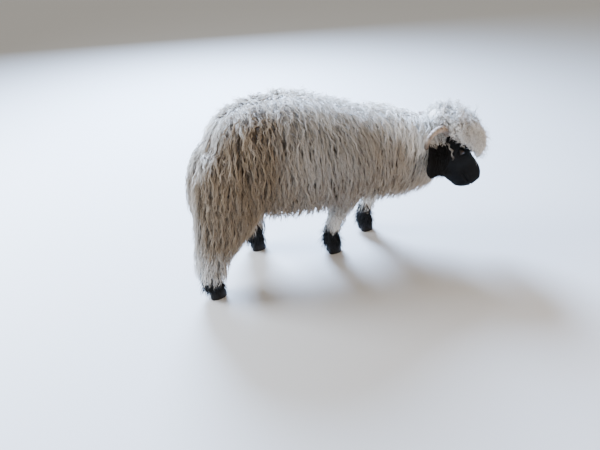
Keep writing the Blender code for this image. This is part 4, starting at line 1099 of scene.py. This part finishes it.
# %% Wool and hair
def coat_colour(tree):
    """Wool from root to tip, clean or browned by dirt and painted shade, and black hair where the coat is
    black.
    """
    strand = add(tree, "Attribute", attribute_name="strand").outputs["Vector"]
    along, tone, dust_shade = add(tree, "SeparateXYZ", {0: strand}).outputs
    black = add(tree, "Attribute", attribute_name="black").outputs["Fac"]
    # the coat darkens towards the root: painted shade deep between the locks
    clean = graded(tree, along, "#cfcac0", "#f5f4f0", high=0.55)
    dusty_shaded = graded(tree, along, "#4c3e30", "#9c8a72", high=0.55)
    dark = graded(tree, along, "#020304", "#06080c", high=0.55)
    colour = mixed(tree, black, mixed(tree, dust_shade, clean, dusty_shaded), dark)
    return scaled(tree, colour, ranged(tree, tone, 0.0, 1.0, 0.72, 1.22))


# %% The wool's finish
# dry, crimped wool, dull in soft light: a strand is many fibres of a few hundredths of a millimetre, so it
# has streaks along it, about ten across its patch
wool_finish, tree = new_finish("lambs_wool")
patch = add(tree, "UVMap", uv_map="OFBake")
fibres = noise(tree, add(tree, "Mapping", {0: patch, "Scale": (3300.0, 420.0, 1.0)}), 1.0, 3.0)
streaked = scaled(tree, coat_colour(tree), ranged(tree, fibres, 0.3, 0.7, 0.80, 1.12))
surface(tree, streaked, 0.85, {
    "IOR": 1.55, "Specular IOR Level": 0.18, "Sheen Weight": 0.06, "Sheen Roughness": 0.5,
    "Normal": bumpy(tree, fibres, 0.6, 0.0004),
})
# %% The skin's finish
# skin under short hair: a fine dull grain
skin_finish, tree = new_finish("lambskin")
grain = noise(tree, object_place(tree), 900.0, 2.0)
surface(tree, coat_colour(tree), 0.8, {
    "IOR": 1.5, "Specular IOR Level": 0.15, "Normal": bumpy(tree, grain, 0.5, 0.0006)})

print(wool_finish.name, skin_finish.name)

# %% Finish the skin and the coat, attach them and hide the solids they cover
skin.data.materials.append(skin_finish)
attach(skin, "root")
sides, feet = ("left", "right"), ("hind_left", "hind_right", "fore_left", "fore_right")
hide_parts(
    "torso", "neck", "forelock", "tail", "head", *(f"ear_{s}" for s in sides),
    *(f"{pair}leg_{s}" for pair in ("hind", "fore") for s in sides), *(f"foot_{foot}" for foot in feet),
)
for piece in coat:
    piece.data.materials.append(wool_finish)
    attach(piece, "root")
print(len(coat), "coat pieces")

# %% [markdown]
# ## Eyes
# A lamb's eye is dark amber with a level slot for a pupil, under a clear wet cornea.

# %% The ball of the eye
CORNEA = 0.0010  # how far it stands out of the ball


def eye_ball(sign, side_name):
    along, side, up = EYE_PLACE
    centre = on_face(along, sign * side, up)
    gaze = unit(FACE_LEFT * sign + 0.28 * AHEAD + 0.10 * BROW)
    level = unit(AHEAD - gaze * (AHEAD @ gaze))
    high = np.cross(gaze, level) * sign
    polar = math.pi * np.linspace(0, 1, 29)[1:-1] ** 1.25
    turn = 2 * math.pi * np.arange(40) / 40
    bulge = EYE_RADIUS + CORNEA * (1 - ramp(polar, 0.35, 0.75))
    round_way = np.outer(np.sin(polar), np.cos(turn))[..., None] * level
    round_way = round_way + np.outer(np.sin(polar), np.sin(turn))[..., None] * high
    points, faces = tube_of(centre + bulge[:, None, None] * (round_way + np.cos(polar)[:, None, None] * gaze))
    points[-2], points[-1] = centre + gaze * (EYE_RADIUS + CORNEA), centre - gaze * EYE_RADIUS
    eye = shape_of("eyeball_" + side_name, [(points, faces)])
    away = (np.array([v.co for v in eye.data.vertices]) - centre) * 1000
    store(eye.data, "gaze", np.stack([away @ level, away @ high, away @ gaze], -1))
    eye.data.shade_smooth()
    return eye


# %% Finish and place the eyes
# a wet clear cornea over a dark amber iris, with the pupil as a level slot
eye_finish, tree = new_finish("wet_eye")
gaze = add(tree, "Attribute", attribute_name="gaze").outputs["Vector"]
flat = add(tree, "VectorMath", {0: gaze, 1: (1, 1, 0)}, operation="MULTIPLY")
reach = add(tree, "VectorMath", {0: flat}, operation="LENGTH")
slot_shape = add(tree, "VectorMath", {0: flat, 1: (0.34, 0.80, 0)}, operation="MULTIPLY")
slot_reach = add(tree, "VectorMath", {0: slot_shape}, operation="LENGTH")
pupil = ranged(tree, slot_reach, 1.0, 1.12)
iris = graded(tree, noise(tree, gaze, 1.6, 4.0), "#160c06", "#38230f")
inner = mixed(tree, pupil, linear("#040507"), iris)
ball = mixed(tree, ranged(tree, reach, 7.4, 8.6), inner, linear("#1c130d"))
surface(tree, ball, 0.35, {
    "IOR": 1.38, "Specular IOR Level": 0.3, "Coat Weight": 0.3, "Coat Roughness": 0.03})
for sign, side in ((1, "left"), (-1, "right")):
    eye = eye_ball(sign, side)
    eye.data.materials.append(eye_finish)
    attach(eye, "root")
    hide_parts("eye_" + side)
print("eyes", EYE_RADIUS * 2000, "mm across")

# %% [markdown]
# ## Horns
# The horns of a young animal are short, and ringed where each week's growth has pushed the last one
# on. Their shape follows a rule, a narrowing spiral, so Geometry Nodes sweep a circle along it.

# %% The sweep as a node tree
HORN_RULE = {"Rings": 30.0, "Ring depth": 0.0020, "Ring noise": 0.0010, "Sides": 28}


def sweep_tree(material):
    tree = bpy.data.node_groups.new("ringed_sweep", "GeometryNodeTree")
    face = tree.interface
    face.new_socket("Geometry", in_out="INPUT", socket_type="NodeSocketGeometry")
    for name, value in HORN_RULE.items():
        kind = "NodeSocketInt" if isinstance(value, int) else "NodeSocketFloat"
        face.new_socket(name, in_out="INPUT", socket_type=kind).default_value = value
    face.new_socket("Geometry", in_out="OUTPUT", socket_type="NodeSocketGeometry")

    def maths(operation, first, second):
        return add(tree, "Math", {0: first, 1: second}, operation=operation)

    given = add(tree, "NodeGroupInput").outputs
    girth, along = (
        add(tree, "GeometryNodeInputNamedAttribute", {"Name": name}).outputs["Attribute"]
        for name in ("girth", "along"))
    curve = add(tree, "GeometryNodeMeshToCurve", {0: given["Geometry"]})
    circle = add(tree, "GeometryNodeCurvePrimitiveCircle", {
        "Resolution": given["Sides"], "Radius": 1.0}, mode="RADIUS")
    tube = add(tree, "GeometryNodeCurveToMesh", {
        "Curve": curve, "Profile Curve": circle, "Scale": girth, "Fill Caps": True})
    wobble = noise(tree, add(tree, "GeometryNodeInputPosition"), 90.0, 2.0)
    saw = maths("PINGPONG", maths("ADD", maths("MULTIPLY", along, given["Rings"]), wobble), 1.0)
    deep = maths("MULTIPLY", saw, given["Ring depth"])
    rough = maths("MULTIPLY", wobble, given["Ring noise"])
    depth = maths("MULTIPLY", maths("ADD", deep, rough), maths("MULTIPLY", girth, 1 / HORN_GIRTH))
    offset = scaled(tree, add(tree, "GeometryNodeInputNormal"), maths("MULTIPLY", depth, -1.0))
    ringed = add(tree, "GeometryNodeSetPosition", {"Geometry": tube, "Offset": offset})
    smooth = add(tree, "GeometryNodeSetShadeSmooth", {0: ringed})
    real = add(tree, "GeometryNodeRealizeInstances", {0: smooth})
    painted = add(tree, "GeometryNodeSetMaterial", {0: real, "Material": material})
    add(tree, "NodeGroupOutput", {0: painted})
    return tree


# %% The horn's finish
# dry young horn, blotched grey and brown and darker at the tip
horn_finish, tree = new_finish("keratin_horn")
along = add(tree, "Attribute", attribute_name="along").outputs["Fac"]
coords = object_place(tree)
tint = graded(tree, noise(tree, coords, 120.0, 3.0), "#65564a", "#a89786", 0.3, 0.7)
shade = mixed(tree, ranged(tree, along, 0.75, 1.0), tint, linear("#4a3a2c"))
fine = noise(tree, coords, 700.0, 2.0)
surface(tree, shade, 0.55, {"IOR": 1.55, "Normal": bumpy(tree, fine, 0.35, 0.0004)})

print(horn_finish.name)

# %% Make the horns
sweep = sweep_tree(horn_finish)
for sign, side in ((1, "left"), (-1, "right")):
    path, girth, along = horn_path(sign)
    mesh = bpy.data.meshes.new("horn")
    mesh.from_pydata(path.tolist(), [(i, i + 1) for i in range(len(path) - 1)], [])
    store(mesh, "girth", girth)
    store(mesh, "along", along)
    horn = placed("ribbed_horn_" + side, mesh)
    modifier = horn.modifiers.new("sweep", "NODES")
    modifier.node_group = sweep
    for name, value in HORN_RULE.items():
        modifier[sweep.interface.items_tree[name].identifier] = value
    settled(horn)
    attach(horn, "root")
    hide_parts("horn_" + side)
    print(horn.name, len(horn.data.polygons), "faces")

# %% [markdown]
# ## Hooves
# Each foot stands on two claws. Their walls are ringed horn, flat below.

# %% The shape of a claw
CLAW_GAP, CLAW_WIDTH, CLAW_LENGTH, CLAW_AHEAD, CLAW_TOP = 0.004, 0.021, 0.050, 0.012, 0.0315
# the outline of a claw from heel to toe, in shares of its length and width
CLAW_OUTLINE = [
    (-0.40, 0.0), (-0.44, 0.55), (-0.30, 0.95), (0.05, 1.0), (0.36, 0.82), (0.54, 0.42),
    (0.60, 0.06), (0.56, 0.0),
]
# how high up, how wide and how far back it leans there
CLAW_LEVELS = [
    (0, 0.985, 0), (0.05, 1.0, -0.005), (0.45, 0.97, -0.05), (0.80, 0.90, -0.12), (0.95, 0.85, -0.15),
    (1, 0.80, -0.16),
]


def claw_shape(foot, sign):
    x, y = FEET[foot]
    outline = smooth_rows(CLAW_OUTLINE, 5)
    outline = np.vstack([outline, np.linspace(outline[-1], outline[0], 14)[1:-1]])
    outline[:, 1] = np.maximum(outline[:, 1], 0)
    u, v = outline.T
    level, scale, lean = smooth_rows(CLAW_LEVELS, 5).T[:, :, None]
    scale = scale - 0.008 * (0.5 + 0.5 * np.sin(2 * math.pi * level * 6)) * ramp(level, 0.05, 0.2)
    along = x + CLAW_AHEAD + CLAW_LENGTH * (u * scale + lean * np.maximum(0, u + 0.2))
    side = y + sign * (CLAW_GAP / 2 + CLAW_WIDTH * v * scale)
    return tube_of(np.stack([along, side + 0 * along, CLAW_TOP * level + 0 * along], -1) - ORIGIN)


# %% Make the claws
# black hoof horn, worn dull, with growth lines round it
hoof_finish, tree = new_finish("hoof_horn")
stretched = add(tree, "Mapping", {0: object_place(tree), "Scale": (1.0, 1.0, 7.0)})
lines = noise(tree, stretched, 60.0, 4.0)
surface(tree, graded(tree, lines, "#050505", "#131110"), 0.6, {
    "IOR": 1.55, "Specular IOR Level": 0.25, "Normal": bumpy(tree, lines, 0.4, 0.0006)})
for foot in feet:
    for sign, side in ((1, "left"), (-1, "right")):
        claw = shape_of(f"ringed_claw_{foot}_{side}", [claw_shape(foot, sign)])
        claw.data.shade_smooth()
        claw.data.set_sharp_from_angle(angle=math.radians(40))
        claw.data.materials.append(hoof_finish)
        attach(claw, "root")
        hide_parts(f"claw_{foot}_{side}")
print("claws", len(feet) * 2)

# %% [markdown]
# ## Floor, light and camera
# The light falls from behind and to the left, high up, so the back and the brow are bright and the
# near side lies in soft shade, with its locks drawn by the light that bounces in.

# %% Floor and light
FLOOR = 20.0
# matt pale paper
floor_finish, tree = new_finish("pale_paper")
surface(tree, linear("#cbc9c5"), 0.9)
floor_mesh = bpy.data.meshes.new("floor")
floor_corners = [(x * FLOOR, y * FLOOR, 0) for x, y in ((-1, -1), (1, -1), (1, 1), (-1, 1))]
floor_mesh.from_pydata(floor_corners, [], [(0, 1, 2, 3)])
floor_mesh.materials.append(floor_finish)
floor = placed("floor", floor_mesh)

world = bpy.data.worlds.new("studio")
world.use_nodes = True
background = world.node_tree.nodes["Background"].inputs
background["Color"].default_value, background["Strength"].default_value = linear("#e9e5de"), 0.74
bpy.context.scene.world = world


def soft_light(name, place, size, power, colour):
    light = bpy.data.lights.new(name, "AREA")
    light.shape, light.size, light.energy, light.color = "DISK", size, power, linear(colour)[:3]
    lamp = placed(name, light)
    lamp.location = place
    lamp.rotation_euler = (Vector((0, 0, 0.3)) - Vector(place)).to_track_quat("-Z", "Y").to_euler()


soft_light("window", (-0.10, 2.30, 2.15), 1.5, 880, "#b8d4ff")
soft_light("door", (-2.10, 0.75, 1.45), 1.2, 170, "#e2edff")
soft_light("fill", (1.30, -1.70, 0.90), 1.6, 24, "#ffdcb6")
print("lights", [light.name for light in bpy.data.lights])

# %% Camera
CAMERA_PLACE = (-0.5889, -1.1976, 0.95)
CAMERA_LOOK = (0.3006, 0.7830, -0.5446)
LENS = 27.06
lens = bpy.data.cameras.new("camera")
lens.lens, lens.sensor_width, lens.clip_start = LENS, 36, 0.05
camera = placed("camera", lens)
camera.location = CAMERA_PLACE
camera.rotation_euler = Vector(CAMERA_LOOK).to_track_quat("-Z", "Y").to_euler()
bpy.context.scene.camera = camera
print("camera at", CAMERA_PLACE, "with a lens of", LENS, "mm")
